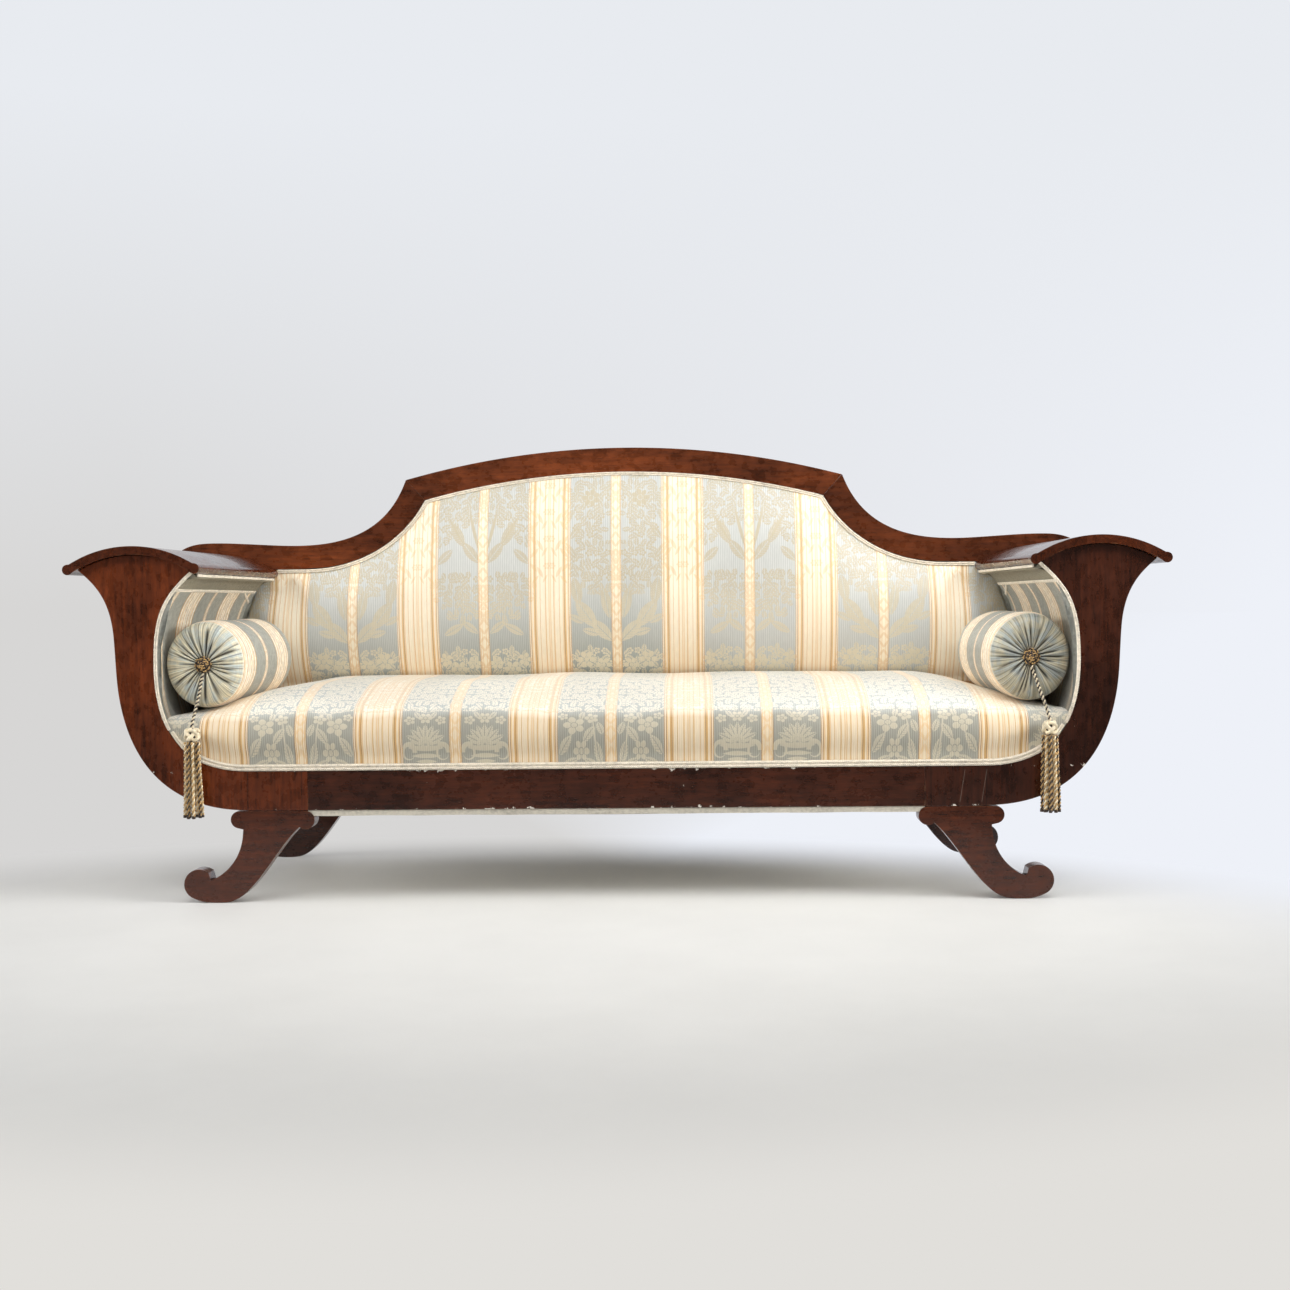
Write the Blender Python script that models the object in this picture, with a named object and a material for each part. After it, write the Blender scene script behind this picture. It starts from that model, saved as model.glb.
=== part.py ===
"""Scroll-armed sofa with an arched show-wood back, a sprung seat and two loose bolsters.

Metres, +Z up. The sofa faces -Y, and its origin is on the floor under its middle.
Left (-X) and right (+X) are as seen from the front.
"""

import math

import bmesh
import bpy
import numpy as np
from mathutils import Matrix, Vector

# Overall sizes
WIDTH = 2.300  # over the rolled edges of the two arm boards
DEPTH = 0.660  # front of the arm boards to the back cover
CREST_HEIGHT = 1.0045  # floor to the top of the arched crest
CLEARANCE = 0.0003  # between pieces that touch

# Seat frame
LEG_HEIGHT = 0.194  # floor to the underside of the rails
RAIL_HEIGHT = 0.083
BOARD_THICKNESS = 0.050  # front rail and arm fronts
BACK_THICKNESS = 0.043  # all boards of the back frame
BACK_RAIL_THICKNESS = 0.068
RAIL_JOINT_INSET = 0.126  # end of the straight rail to its joint with the arm front
END_RAIL_OUTSET = 0.020  # end of the straight rail to the end rail's outer face
END_RAIL_WIDTH = 0.0447
BLOCK_WIDTH = 0.095
BLOCK_DEPTH = 0.040
BRACE_WIDTH = 0.060
BRACE_HEIGHT = 0.040
BRACE_LIFT = 0.016  # rail underside to the brace's underside

# Arm fronts, as seen from the front
POST_OUTER_OFFSET = 0.042  # arm board's middle to the outer edge at the waist
POST_WIDTH = 0.081  # at the waist
OUTER_WAIST_HEIGHT = 0.520
INNER_WAIST_HEIGHT = 0.500
LOWER_CURVE_REACH = 0.196  # inner waist to where the curve becomes the straight rail
OUTER_FLARE = 0.1165  # arm board's middle to the post's outer top corner
INNER_FLARE = 0.121  # arm board's middle to the post's inner top corner

# Arm boards
ARM_BOARD_WIDTH = 0.290
ARM_BOARD_HEIGHT = 0.752  # floor to the crown of the board
ARM_BOARD_THICKNESS = 0.018
ARM_BOARD_BOW = 0.247  # radius of the bowed top
ARM_BOARD_PROUD = 0.015  # ahead of the arm front
ROLL_RADIUS = 0.0115
ROLL_DROP = 0.0485  # crown of the board to the middle of its rolled edges
ROLL_BLEND = 0.003  # the board's top ends this far short of the rolls' middles
ARM_RAIL_WIDTH = 0.090
ARM_RAIL_DROP = 0.097  # crown of the board to the underside of the upper arm rails
LOWER_RAIL_WIDTH = 0.052
LOWER_RAIL_HEIGHT = 0.038
LOWER_RAIL_INSET = 0.006  # inner contour to the rail's upper inner edge
LOWER_RAIL_RISE = 0.053  # seat rails' top to the top of the lower arm rails

# Back frame, as seen from the front
CREST_RADIUS = 2.025
CREST_HALF_WIDTH = 0.5375  # middle to the outer corner of the arch
CREST_BAND = 0.059
CREST_INNER_RADIUS = 1.919
CREST_INNER_HALF_WIDTH = 0.4915
SHOULDER_BAND = 0.058  # height of the shoulder at its low point
SHOULDER_DROP = 0.038  # crown of the arm board to the shoulder's underside
SHOULDER_FLAT_INSET = 0.200  # arm board's middle to where the shoulder's sweep ends
SHOULDER_INNER_INSET = 0.215
TAIL_RISE = 0.009  # the shoulder rises again towards the arm
TAIL_CROWN_OUT = 0.035  # arm board's middle to the top of that rise
TAIL_REACH = 0.123  # arm board's middle to the shoulder's outer end
BACK_POST_FLARE = 0.016  # the back posts' tops reach this much further in than the arm fronts'
STAY_RAIL_LIFT = 0.083  # seat rails' top to the stay rail
STAY_RAIL_HEIGHT = 0.060
STILE_SPACING = 0.620
STILE_WIDTH = 0.045
STILE_THICKNESS = 0.027

# Legs
LEG_THICKNESS = 0.038
LEG_INSET = 0.050  # middle of the leg's top to the end of the straight rail
REAR_LEG_SETBACK = 0.030  # rear leg's back to the back of the frame
TOP_ROLL_OUT = 0.070  # middle of the leg's top to its rolls' middles
OUTER_TOP_ROLL = 0.0185
INNER_TOP_ROLL = 0.0200
FOOT_SCROLL_OUT = 0.158
FOOT_SCROLL_RADIUS = 0.0320
FOOT_SCROLL_HEIGHT = 0.0390
FOOT_TOE = 0.147
FOOT_HEEL = 0.095
NECK_OUT = 0.133
NECK_HEIGHT = 0.047
THROAT_IN = 0.008  # outer top roll's middle in to the throat under it
THROAT_DROP = 0.002

# Handles of the curves, as shares of each curve's span: forward from its start and back from its end
INNER_FOOT_CURVE = ((0.663, 0), (0, 0.673))
INNER_TOP_CURVE = ((0, 0.552), (0.732, 0.266))
OUTER_TOP_CURVE = ((0.685, 0.220), (0, 0.550))
OUTER_FOOT_CURVE = ((0, 0.613), (0.686, 0))
SHOULDER_CURVE = ((0.120, 0.526), (0.636, 0))
SHOULDER_INNER_CURVE = ((0.111, 0.394), (0.570, 0))
TAIL_RISE_CURVE = ((0.319, 0), (0.340, -0.222))
TAIL_FALL_CURVE = ((0.511, 0.030), (0, 0.746))
LEG_OUTER_CURVE = ((0, 0.557), (0.465, 0.111))
LEG_INNER_CURVE = ((0.363, 0.050), (0.310, 0.233))

# Seat upholstery
WEBBING_WIDTH = 0.060
WEBBING_THICKNESS = 0.0025
SEAT_WEBS_ACROSS = 7
SEAT_WEBS_ALONG = 3
SPRINGS_PER_ROW = 6
SPRING_END_MARGIN = 0.266  # canvas's end to the middle of the last spring
SPRING_ROW_MARGIN = 0.162  # canvas's front or back edge to each row
SPRING_RADIUS = 0.045
SPRING_WIRE = 0.004
SPRING_TURNS = 3
SPRING_POINTS = 8  # for each turn
CANVAS_RISE = 0.070
CANVAS_THICKNESS = 0.002
CANVAS_SLOPE = 0.100  # width of the sloping border of the canvas
CANVAS_BORDER = (0, 0.3, 0.6, 1)  # stations over that border, as shares of it
SEAT_EDGE_RISE = 0.115  # seat rails' top to the seat's front top edge
SEAT_EDGE_DROP = 0.010  # the very edge is rounded down by this much
SEAT_EDGE_DEPTH = 0.022  # over this depth
SEAT_EDGE_CROWN = 0.22  # share of the crown that the front edge already has
SEAT_CROWN = 0.056  # edge to the crown
SEAT_BULGE = 0.012
SEAT_SWELL = 0.035  # the front face swells over this height above its braid
SEAT_END_SLOPE = 0.272  # the crown falls away over this width at each end
SEAT_FRONT_SLOPE = 0.190
SEAT_BACK_LEAN = 0.022
SEAT_SHOULDER = 0.6  # share of the seat's height above which its faces turn over to the top
SEAT_END_STATIONS = (0, 0.045, 0.12, 0.25, 0.42, 0.61, 0.80)  # from the seat's end in to the canvas
SEAT_RIM_STATIONS = (0, 0.15, 0.38, 0.65, 0.86, 1)  # from the seat's underside up to its top
LINING_THICKNESS = 0.002
LINING_SAG = 0.008
LINING_MARGIN = 0.004
GIMP_THICKNESS = 0.0032
SEAT_GIMP_WIDTH = 0.014
ARM_GIMP_WIDTH = 0.007
BACK_GIMP_WIDTH = 0.009

# Back and arm upholstery
BACK_CROWN = 0.050
BACK_CROWN_SLOPE = 0.150
BACK_PAD_THICKNESS = 0.013  # at its edges
BACK_PAD_STATIONS = (0, 0.08, 0.20, 0.36, 0.54, 0.72, 0.88, 1)  # from its foot up to under its braid
BACK_WEBS_UP = 7
BACK_WEBS_ALONG = 2
COVER_THICKNESS = 0.002
COVER_LAP = 0.020
ARM_PAD_THICKNESS = 0.006
ARM_PAD_DROP = 0.092  # crown of the arm board to the top of the arm pad
ARM_PAD_LIFT = 0.012  # seat's edge to the arm pad's foot
ARM_PAD_GAP = 0.010  # arm pad's end to the back frame
UNDER_ARM_THICKNESS = 0.005

# Bolsters
BOLSTER_LIFT = 0.015  # seat's front edge to the bolster's underside
BOLSTER_HALF_WIDTH = 0.0855
BOLSTER_HALF_HEIGHT = 0.0935
BOLSTER_SETBACK = 0.030  # front of the frame to the bolster's front
BOLSTER_BACK_GAP = 0.1297  # bolster's back end to the back frame
BOLSTER_DISH = 0.012
BOLSTER_PLEATS = 16
PLEAT_DEPTH = 0.0030
BOLSTER_EYE = 0.24  # share of the radius at the edge of the flat middle of each end
BOLSTER_END = (  # share of the radius, depth behind the end's foremost ring, share of the pleats' depth
    (0.34, 0.006, 0.6),
    (0.55, 0.000, 1.0),
    (0.78, 0.003, 0.7),
    (0.93, 0.014, 0.3),
    (1.00, 0.045, 0.0),
)
ROSETTE_RADIUS = 0.019
ROSETTE_DEPTH = 0.014
ROSETTE_LOBES = 8
CORD_DIAMETER = 0.0072
KNOT_WIDTH = 0.029
KNOT_LENGTH = 0.029
TASSEL_LENGTH = 0.160
TASSEL_SHOULDER = 0.010  # the strands spread over this length below the knot
TASSEL_TOP_RADIUS = 0.0130
TASSEL_FOOT_RADIUS = 0.0205
TASSEL_STRANDS = 10

# Tassel cords from the rosette over the seat's edge: out from the bolster's middle, back from the front of
# the frame and up from the floor
LEFT_CORD = (
    (0.000, 0.0375, 0.4812),
    (0.000, 0.0335, 0.4740),
    (0.000, 0.0255, 0.4640),
    (0.000, 0.0160, 0.4480),
    (0.001, 0.0055, 0.4290),
    (0.002, -0.0080, 0.4090),
    (0.003, -0.0190, 0.3930),
    (0.004, -0.0265, 0.3800),
    (0.004, -0.0285, 0.3725),
)
RIGHT_CORD = (
    (0.000, 0.0375, 0.4812),
    (0.001, 0.0335, 0.4740),
    (0.003, 0.0255, 0.4640),
    (0.007, 0.0160, 0.4480),
    (0.011, 0.0055, 0.4290),
    (0.016, -0.0080, 0.4090),
    (0.019, -0.0190, 0.3930),
    (0.021, -0.0265, 0.3800),
    (0.022, -0.0285, 0.3725),
)

# Colours
MAHOGANY = "5a2c18"
BEECH = "b98d5f"
DAMASK = "c9c3a8"
BLUE_STRIPE = "9aa39f"
BRAID = "d8d0bc"
JUTE = "a98b5d"
LINEN = "cfc8b8"
STEEL = "8a8a8c"
TASSEL_SILK = "8d7a58"

# Places worked out from the sizes
FRONT_Y = -DEPTH / 2 + ARM_BOARD_PROUD
BOARD_BACK_Y = FRONT_Y + BOARD_THICKNESS
BACK_Y = DEPTH / 2 - COVER_THICKNESS - CLEARANCE
BACK_FRONT_Y = BACK_Y - BACK_THICKNESS
RAIL_TOP = LEG_HEIGHT + RAIL_HEIGHT
ARM_MIDDLE = WIDTH / 2 - ARM_BOARD_WIDTH / 2
POST_OUTER = ARM_MIDDLE + POST_OUTER_OFFSET
POST_INNER = POST_OUTER - POST_WIDTH
CURVE_START = POST_INNER - LOWER_CURVE_REACH
RAIL_JOINT = CURVE_START - RAIL_JOINT_INSET
LEG_MIDDLE = CURVE_START - LEG_INSET
END_RAIL_OUTER = CURVE_START + END_RAIL_OUTSET
ROLL_HEIGHT = ARM_BOARD_HEIGHT - ROLL_DROP
ARM_PAD_TOP = ARM_BOARD_HEIGHT - ARM_PAD_DROP
ARM_BOARD_EDGE = ARM_MIDDLE - ARM_BOARD_WIDTH / 2
SHOULDER_UNDERSIDE = ARM_BOARD_HEIGHT - SHOULDER_DROP
SHOULDER_HEIGHT = SHOULDER_UNDERSIDE + SHOULDER_BAND
SHOULDER_FLAT = ARM_MIDDLE - SHOULDER_FLAT_INSET
SHOULDER_INNER_FLAT = ARM_MIDDLE - SHOULDER_INNER_INSET
POST_TOP_INNER = ARM_MIDDLE - INNER_FLARE - BACK_POST_FLARE
POST_TOP = SHOULDER_UNDERSIDE - CLEARANCE
STAY_RAIL_LOW = RAIL_TOP + STAY_RAIL_LIFT
STAY_RAIL_HIGH = STAY_RAIL_LOW + STAY_RAIL_HEIGHT
SEAT_EDGE_HEIGHT = RAIL_TOP + SEAT_EDGE_RISE
BACK_BRAID_EDGE = BACK_GIMP_WIDTH + 4 * CLEARANCE
BOLSTER_MIDDLE = POST_INNER - ARM_PAD_THICKNESS - BOLSTER_HALF_WIDTH - 4 * CLEARANCE
BOLSTER_HEIGHT = SEAT_EDGE_HEIGHT + BOLSTER_LIFT + BOLSTER_HALF_HEIGHT
BOLSTER_FRONT_Y = FRONT_Y + BOLSTER_SETBACK
BOLSTER_BACK_Y = BACK_FRONT_Y - BOLSTER_BACK_GAP
CANVAS_HALF_WIDTH = CURVE_START - LINING_MARGIN
CANVAS_FRONT_Y = FRONT_Y + 3 * LINING_MARGIN
CANVAS_BACK_Y = BACK_FRONT_Y - 2 * LINING_MARGIN
SEAT_BACK_Y = BACK_FRONT_Y - 2 * CLEARANCE
SIDES = (("left", -1), ("right", 1))


def clear_scene():
    for item in list(bpy.data.objects):
        bpy.data.objects.remove(item, do_unlink=True)


def material(name, colour, roughness, metallic=0.0):
    """A Principled material from an sRGB hex colour, made once for each name."""
    found = bpy.data.materials.get(name)
    if found:
        return found
    made = bpy.data.materials.new(name)
    made.use_nodes = True
    shader = made.node_tree.nodes["Principled BSDF"]
    channels = [int(colour[i : i + 2], 16) / 255 for i in (0, 2, 4)]
    shader.inputs["Base Color"].default_value = (*[c**2.2 for c in channels], 1.0)
    shader.inputs["Roughness"].default_value = roughness
    shader.inputs["Metallic"].default_value = metallic
    return made


def wood():
    return material("polished_mahogany", MAHOGANY, 0.25)


def hidden_wood():
    return material("beech", BEECH, 0.6)


def add_object(name, mesh_or_curve, finish, parent):
    item = bpy.data.objects.new(name, mesh_or_curve)
    item.data.materials.append(finish)
    bpy.context.scene.collection.objects.link(item)
    if parent.location.length > 0:
        item.data.transform(Matrix.Translation(-parent.location))
    item.parent = parent
    return item


def add_empty(name, place):
    empty = bpy.data.objects.new(name, None)
    empty.location = place
    bpy.context.scene.collection.objects.link(empty)
    return empty


def from_bmesh(name, bm, finish, parent):
    bmesh.ops.recalc_face_normals(bm, faces=bm.faces)
    mesh = bpy.data.meshes.new(name)
    bm.to_mesh(mesh)
    bm.free()
    mesh.shade_smooth()
    mesh.set_sharp_from_angle(angle=math.radians(30))
    return add_object(name, mesh, finish, parent)


# Curves and outlines


def swept(start, end, handles, steps=8):
    """Points on a cubic curve, without its first point. handles are shares of the span, forward from the
    start and back from the end."""
    start = np.array(start)
    end = np.array(end)
    forward, backward = [np.array(share) * (end - start) for share in handles]
    points = (start, start + forward, end - backward, end)
    made = []
    for t in np.linspace(0, 1, steps + 1)[1:]:
        s = 1 - t
        weights = (s**3, 3 * s * s * t, 3 * s * t * t, t**3)
        made.append(tuple(sum(w * p for w, p in zip(weights, points))))
    return made


def arc(centre, radius, start, end, steps=8):
    """Points on a circle between two angles in degrees, both included."""
    angles = np.radians(np.linspace(start, end, steps + 1))
    return [(centre[0] + radius * math.cos(a), centre[1] + radius * math.sin(a)) for a in angles]


def offset_line(points, distance):
    """The polyline moved to its left by a distance."""
    line = np.array(points)
    along = np.gradient(line, axis=0)
    along /= np.linalg.norm(along, axis=1)[:, None]
    return line + distance * np.stack([-along[:, 1], along[:, 0]], axis=1)


def arch(x, top, radius):
    """Height at x of an arch with its crown on the middle line."""
    return top - radius + math.sqrt(radius**2 - x**2)


def board_arc(x, thickness):
    """Height of the bowed arm board's surface, at a thickness below its top."""
    middle = ARM_BOARD_HEIGHT - ARM_BOARD_BOW
    return middle + math.sqrt((ARM_BOARD_BOW - thickness) ** 2 - (x - ARM_MIDDLE) ** 2)


def inner_foot():
    """The arm front's inner edge, from the end of the straight rail up to the waist."""
    start = (CURVE_START, RAIL_TOP)
    return [start, *swept(start, (POST_INNER, INNER_WAIST_HEIGHT), INNER_FOOT_CURVE, 10)]


def inner_flare():
    """The arm front's inner edge above the waist, up to the arm board."""
    top_x = ARM_MIDDLE - INNER_FLARE
    top = (top_x, board_arc(top_x, ARM_BOARD_THICKNESS) - CLEARANCE)
    return swept((POST_INNER, INNER_WAIST_HEIGHT), top, INNER_TOP_CURVE)


def inner_contour():
    """The arm front's whole inner edge, from the end of the straight rail up to the arm board."""
    return inner_foot() + inner_flare()


def outer_contour():
    """The arm front's outer edge, from the arm board down to the end of the straight rail."""
    waist = (POST_OUTER, OUTER_WAIST_HEIGHT)
    top_x = ARM_MIDDLE + OUTER_FLARE
    top = (top_x, board_arc(top_x, ARM_BOARD_THICKNESS) - CLEARANCE)
    upper = swept(top, waist, OUTER_TOP_CURVE, 7)
    lower = swept(waist, (CURVE_START, LEG_HEIGHT), OUTER_FOOT_CURVE, 12)
    return [top, *upper, *lower]


def inner_x(height):
    """How far out the arm's inner edge is at a height."""
    line = np.array(inner_contour())
    return float(np.interp(height, line[:, 1], line[:, 0]))


def inner_z(x):
    """Height of the lower inner edge at x: the rail's top, then the curve up to the waist."""
    line = np.array(inner_foot())
    return float(np.interp(x, line[:, 0], line[:, 1]))


def crest_inner(x):
    """Height of the back frame's inner edge at x, over the arch, the shoulder and its flat end."""
    x = abs(x)
    if x <= CREST_INNER_HALF_WIDTH:
        return arch(x, CREST_HEIGHT - CREST_BAND, CREST_INNER_RADIUS)
    line = np.array([crest_inner_corner(), *shoulder_inner()])
    return float(np.interp(x, line[:, 0], line[:, 1]))


def crest_inner_corner():
    x = CREST_INNER_HALF_WIDTH
    return (x, arch(x, CREST_HEIGHT - CREST_BAND, CREST_INNER_RADIUS))


def crest_outer_corner():
    return (CREST_HALF_WIDTH, arch(CREST_HALF_WIDTH, CREST_HEIGHT, CREST_RADIUS))


def shoulder_inner():
    """Lower edge of a shoulder, from the mitre to where it runs level."""
    return swept(crest_inner_corner(), (SHOULDER_INNER_FLAT, SHOULDER_UNDERSIDE), SHOULDER_INNER_CURVE)


def crest_line():
    """The back frame's inner edge over the right half, from the middle of the arch to the arm board."""
    xs = np.linspace(0, CREST_INNER_HALF_WIDTH, 7)
    end = (ARM_BOARD_EDGE - CLEARANCE, SHOULDER_UNDERSIDE)
    return [*[(float(x), crest_inner(x)) for x in xs], *shoulder_inner(), end]


def line_distance(line, x, z):
    """Distance from a point to a line of points."""
    line = np.array(line)
    point = np.array((x, z))
    start = line[:-1]
    along = np.diff(line, axis=0)
    share = np.clip(((point - start) * along).sum(axis=1) / (along**2).sum(axis=1), 0, 1)
    return float(np.linalg.norm(start + share[:, None] * along - point, axis=1).min())


def mirrored(points, side):
    """Outline points on one side, kept in the same turning order."""
    return points if side > 0 else [(-x, z) for x, z in reversed(points)]


# Solids


def slab(name, outline, front, back, finish, parent):
    """An outline in the XZ plane, extruded from front to back."""
    bm = bmesh.new()
    face = bm.faces.new([bm.verts.new((x, front, z)) for x, z in outline])
    grown = bmesh.ops.extrude_face_region(bm, geom=[face])["geom"]
    moved = [v for v in grown if isinstance(v, bmesh.types.BMVert)]
    bmesh.ops.translate(bm, verts=moved, vec=(0, back - front, 0))
    return from_bmesh(name, bm, finish, parent)


def box(name, low, high, finish, parent):
    bm = bmesh.new()
    bmesh.ops.create_cube(bm, size=1)
    size = Vector(high) - Vector(low)
    bmesh.ops.scale(bm, vec=size, verts=bm.verts)
    bmesh.ops.translate(bm, vec=(Vector(low) + Vector(high)) / 2, verts=bm.verts)
    return from_bmesh(name, bm, finish, parent)


def sheet(name, columns, rows, levels, finish, parent, filled=None):
    """A closed solid over a grid of cells. levels are functions of (column, row): the first and last are the
    solid's two faces, and those between shape its rim. filled says which cells have material."""
    bm = bmesh.new()
    points = {}

    def point(level, i, j):
        key = (level, i, j)
        if key not in points:
            points[key] = bm.verts.new(levels[level](columns[i], rows[j]))
        return points[key]

    cells = {
        (i, j)
        for i in range(len(columns) - 1)
        for j in range(len(rows) - 1)
        if filled is None or filled(i, j)
    }
    last = len(levels) - 1
    for i, j in sorted(cells):
        corners = ((i, j), (i + 1, j), (i + 1, j + 1), (i, j + 1))
        neighbours = ((i, j - 1), (i + 1, j), (i, j + 1), (i - 1, j))
        bm.faces.new([point(last, *c) for c in corners])
        bm.faces.new([point(0, *corners[k]) for k in (0, 3, 2, 1)])
        for k, neighbour in enumerate(neighbours):
            if neighbour in cells:
                continue
            a = corners[k]
            b = corners[(k + 1) % 4]
            for level in range(last):
                quad = ((level, *a), (level, *b), (level + 1, *b), (level + 1, *a))
                bm.faces.new([point(*q) for q in quad])
    return from_bmesh(name, bm, finish, parent)


def strip(name, line, near, far, front, back, finish, parent):
    """A band along a line in the XZ plane, between two offsets to its left, from front to back."""
    low = offset_line(line, near)
    high = offset_line(line, far)
    levels = (
        lambda i, y: (low[i][0], y, low[i][1]),
        lambda i, y: (high[i][0], y, high[i][1]),
    )
    return sheet(name, range(len(line)), (front, back), levels, finish, parent)


def turned(name, rings, segments, finish, parent):
    """A closed round solid. rings are functions of the angle that give points, first and last at a pole."""
    bm = bmesh.new()
    angles = [2 * math.pi * k / segments for k in range(segments)]
    first = bm.verts.new(rings[0](0))
    last = bm.verts.new(rings[-1](0))
    loops = [[bm.verts.new(ring(a)) for a in angles] for ring in rings[1:-1]]
    for k in range(segments):
        n = (k + 1) % segments
        bm.faces.new((first, loops[0][n], loops[0][k]))
        bm.faces.new((last, loops[-1][k], loops[-1][n]))
        for a, b in zip(loops, loops[1:]):
            bm.faces.new((a[k], a[n], b[n], b[k]))
    return from_bmesh(name, bm, finish, parent)


def smooth_route(points, spacing):
    """Points at an even spacing on a smooth curve through the route's own points."""
    route = [Vector(p) for p in points]
    ends = [2 * route[0] - route[1], *route, 2 * route[-1] - route[-2]]
    fine = []
    for a, b, c, d in zip(ends, ends[1:], ends[2:], ends[3:]):
        for t in np.linspace(0, 1, 12, endpoint=False):
            bend = 2 * a - 5 * b + 4 * c - d
            twist = -a + 3 * b - 3 * c + d
            fine.append(0.5 * (2 * b + (c - a) * t + bend * t**2 + twist * t**3))
    fine.append(route[-1])
    travelled = np.cumsum([0, *[(b - a).length for a, b in zip(fine, fine[1:])]])
    count = max(2, round(travelled[-1] / spacing) + 1)
    steps = np.linspace(0, travelled[-1], count)
    axes = [np.interp(steps, travelled, [p[k] for p in fine]) for k in range(3)]
    return list(zip(*axes))


def tube(name, points, diameter, resolution, finish, parent):
    curve = bpy.data.curves.new(name, "CURVE")
    curve.dimensions = "3D"
    curve.bevel_depth = diameter / 2
    curve.bevel_resolution = resolution
    curve.use_fill_caps = True
    spline = curve.splines.new("POLY")
    spline.points.add(len(points) - 1)
    for point, place in zip(spline.points, points):
        point.co = (*place, 1)
    return add_object(name, curve, finish, parent)


# Wooden frame


def board_outline(top_points, side):
    """An arm front or back post: straight rail end, inner edge, top, outer edge."""
    start = (RAIL_JOINT + CLEARANCE, RAIL_TOP)
    end = (RAIL_JOINT + CLEARANCE, LEG_HEIGHT)
    return mirrored([start, *inner_contour(), *top_points, *outer_contour(), end], side)


def make_arm_fronts(frame):
    inner_top = ARM_MIDDLE - INNER_FLARE
    outer_top = ARM_MIDDLE + OUTER_FLARE
    middle = np.linspace(inner_top, outer_top, 11)[1:-1]
    top = [(x, board_arc(x, ARM_BOARD_THICKNESS) - CLEARANCE) for x in middle]
    for word, side in SIDES:
        slab(f"{word}_arm_front", board_outline(top, side), FRONT_Y, BOARD_BACK_Y, wood(), frame)


def make_back_posts(frame):
    top = [(POST_TOP_INNER, POST_TOP), (ARM_MIDDLE + TAIL_REACH, POST_TOP)]
    for word, side in SIDES:
        slab(f"{word}_back_post", board_outline(top, side), BACK_FRONT_Y, BACK_Y, wood(), frame)


def make_seat_frame(frame):
    low = (-RAIL_JOINT, FRONT_Y, LEG_HEIGHT)
    box("front_rail", low, (RAIL_JOINT, BOARD_BACK_Y, RAIL_TOP), wood(), frame)
    back_rail_y = BACK_Y - BACK_RAIL_THICKNESS
    low = (-RAIL_JOINT, back_rail_y, LEG_HEIGHT)
    box("back_seat_rail", low, (RAIL_JOINT, BACK_Y, RAIL_TOP), hidden_wood(), frame)
    for word, side in SIDES:
        xs = sorted((side * (END_RAIL_OUTER - END_RAIL_WIDTH), side * END_RAIL_OUTER))
        low = (xs[0], BOARD_BACK_Y + CLEARANCE, LEG_HEIGHT)
        high = (xs[1], BACK_FRONT_Y - CLEARANCE, RAIL_TOP)
        box(f"{word}_seat_end_rail", low, high, hidden_wood(), frame)
        block_outer = END_RAIL_OUTER - END_RAIL_WIDTH - CLEARANCE
        xs = sorted((side * (block_outer - BLOCK_WIDTH), side * block_outer))
        low = (xs[0], BACK_FRONT_Y - CLEARANCE - BLOCK_DEPTH, LEG_HEIGHT)
        high = (xs[1], BACK_FRONT_Y - CLEARANCE, RAIL_TOP)
        box(f"{word}_rear_block", low, high, hidden_wood(), frame)
    brace_low = LEG_HEIGHT + BRACE_LIFT
    low = (-BRACE_WIDTH / 2, BOARD_BACK_Y + CLEARANCE, brace_low)
    high = (BRACE_WIDTH / 2, back_rail_y - CLEARANCE, brace_low + BRACE_HEIGHT)
    box("seat_brace", low, high, hidden_wood(), frame)


def make_arm_rails(frame):
    front = BOARD_BACK_Y + CLEARANCE
    back = BACK_FRONT_Y - CLEARANCE
    xs = np.linspace(ARM_MIDDLE - ARM_RAIL_WIDTH / 2, ARM_MIDDLE + ARM_RAIL_WIDTH / 2, 7)
    top = [(x, board_arc(x, ARM_BOARD_THICKNESS) - CLEARANCE) for x in xs]
    upper_base = ARM_BOARD_HEIGHT - ARM_RAIL_DROP
    upper = [(xs[-1], upper_base), (xs[0], upper_base), *top]
    lower_top = RAIL_TOP + LOWER_RAIL_RISE
    near = inner_x(lower_top) + LOWER_RAIL_INSET
    far = near + LOWER_RAIL_WIDTH
    base = lower_top - LOWER_RAIL_HEIGHT
    lower = [(near, base), (far, base), (far, lower_top), (near, lower_top)]
    for word, side in SIDES:
        slab(f"{word}_arm_upper_rail", mirrored(upper, side), front, back, hidden_wood(), frame)
        slab(f"{word}_arm_lower_rail", mirrored(lower, side), front, back, hidden_wood(), frame)


def make_arm_tops(frame):
    reach = ARM_BOARD_WIDTH / 2 - ROLL_RADIUS
    inner_roll = (ARM_MIDDLE - reach, ROLL_HEIGHT)
    outer_roll = (ARM_MIDDLE + reach, ROLL_HEIGHT)
    under = np.linspace(-reach + ROLL_RADIUS, reach - ROLL_RADIUS, 17)
    over = np.linspace(reach - ROLL_BLEND, -reach + ROLL_BLEND, 15)
    outline = [(ARM_MIDDLE + x, board_arc(ARM_MIDDLE + x, ARM_BOARD_THICKNESS)) for x in under]
    outline += arc(outer_roll, ROLL_RADIUS, -150, 100)
    outline += [(ARM_MIDDLE + x, board_arc(ARM_MIDDLE + x, 0)) for x in over]
    outline += arc(inner_roll, ROLL_RADIUS, 80, 330)
    for word, side in SIDES:
        slab(f"{word}_arm_top", mirrored(outline, side), -DEPTH / 2, BACK_FRONT_Y - CLEARANCE, wood(), frame)


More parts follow.
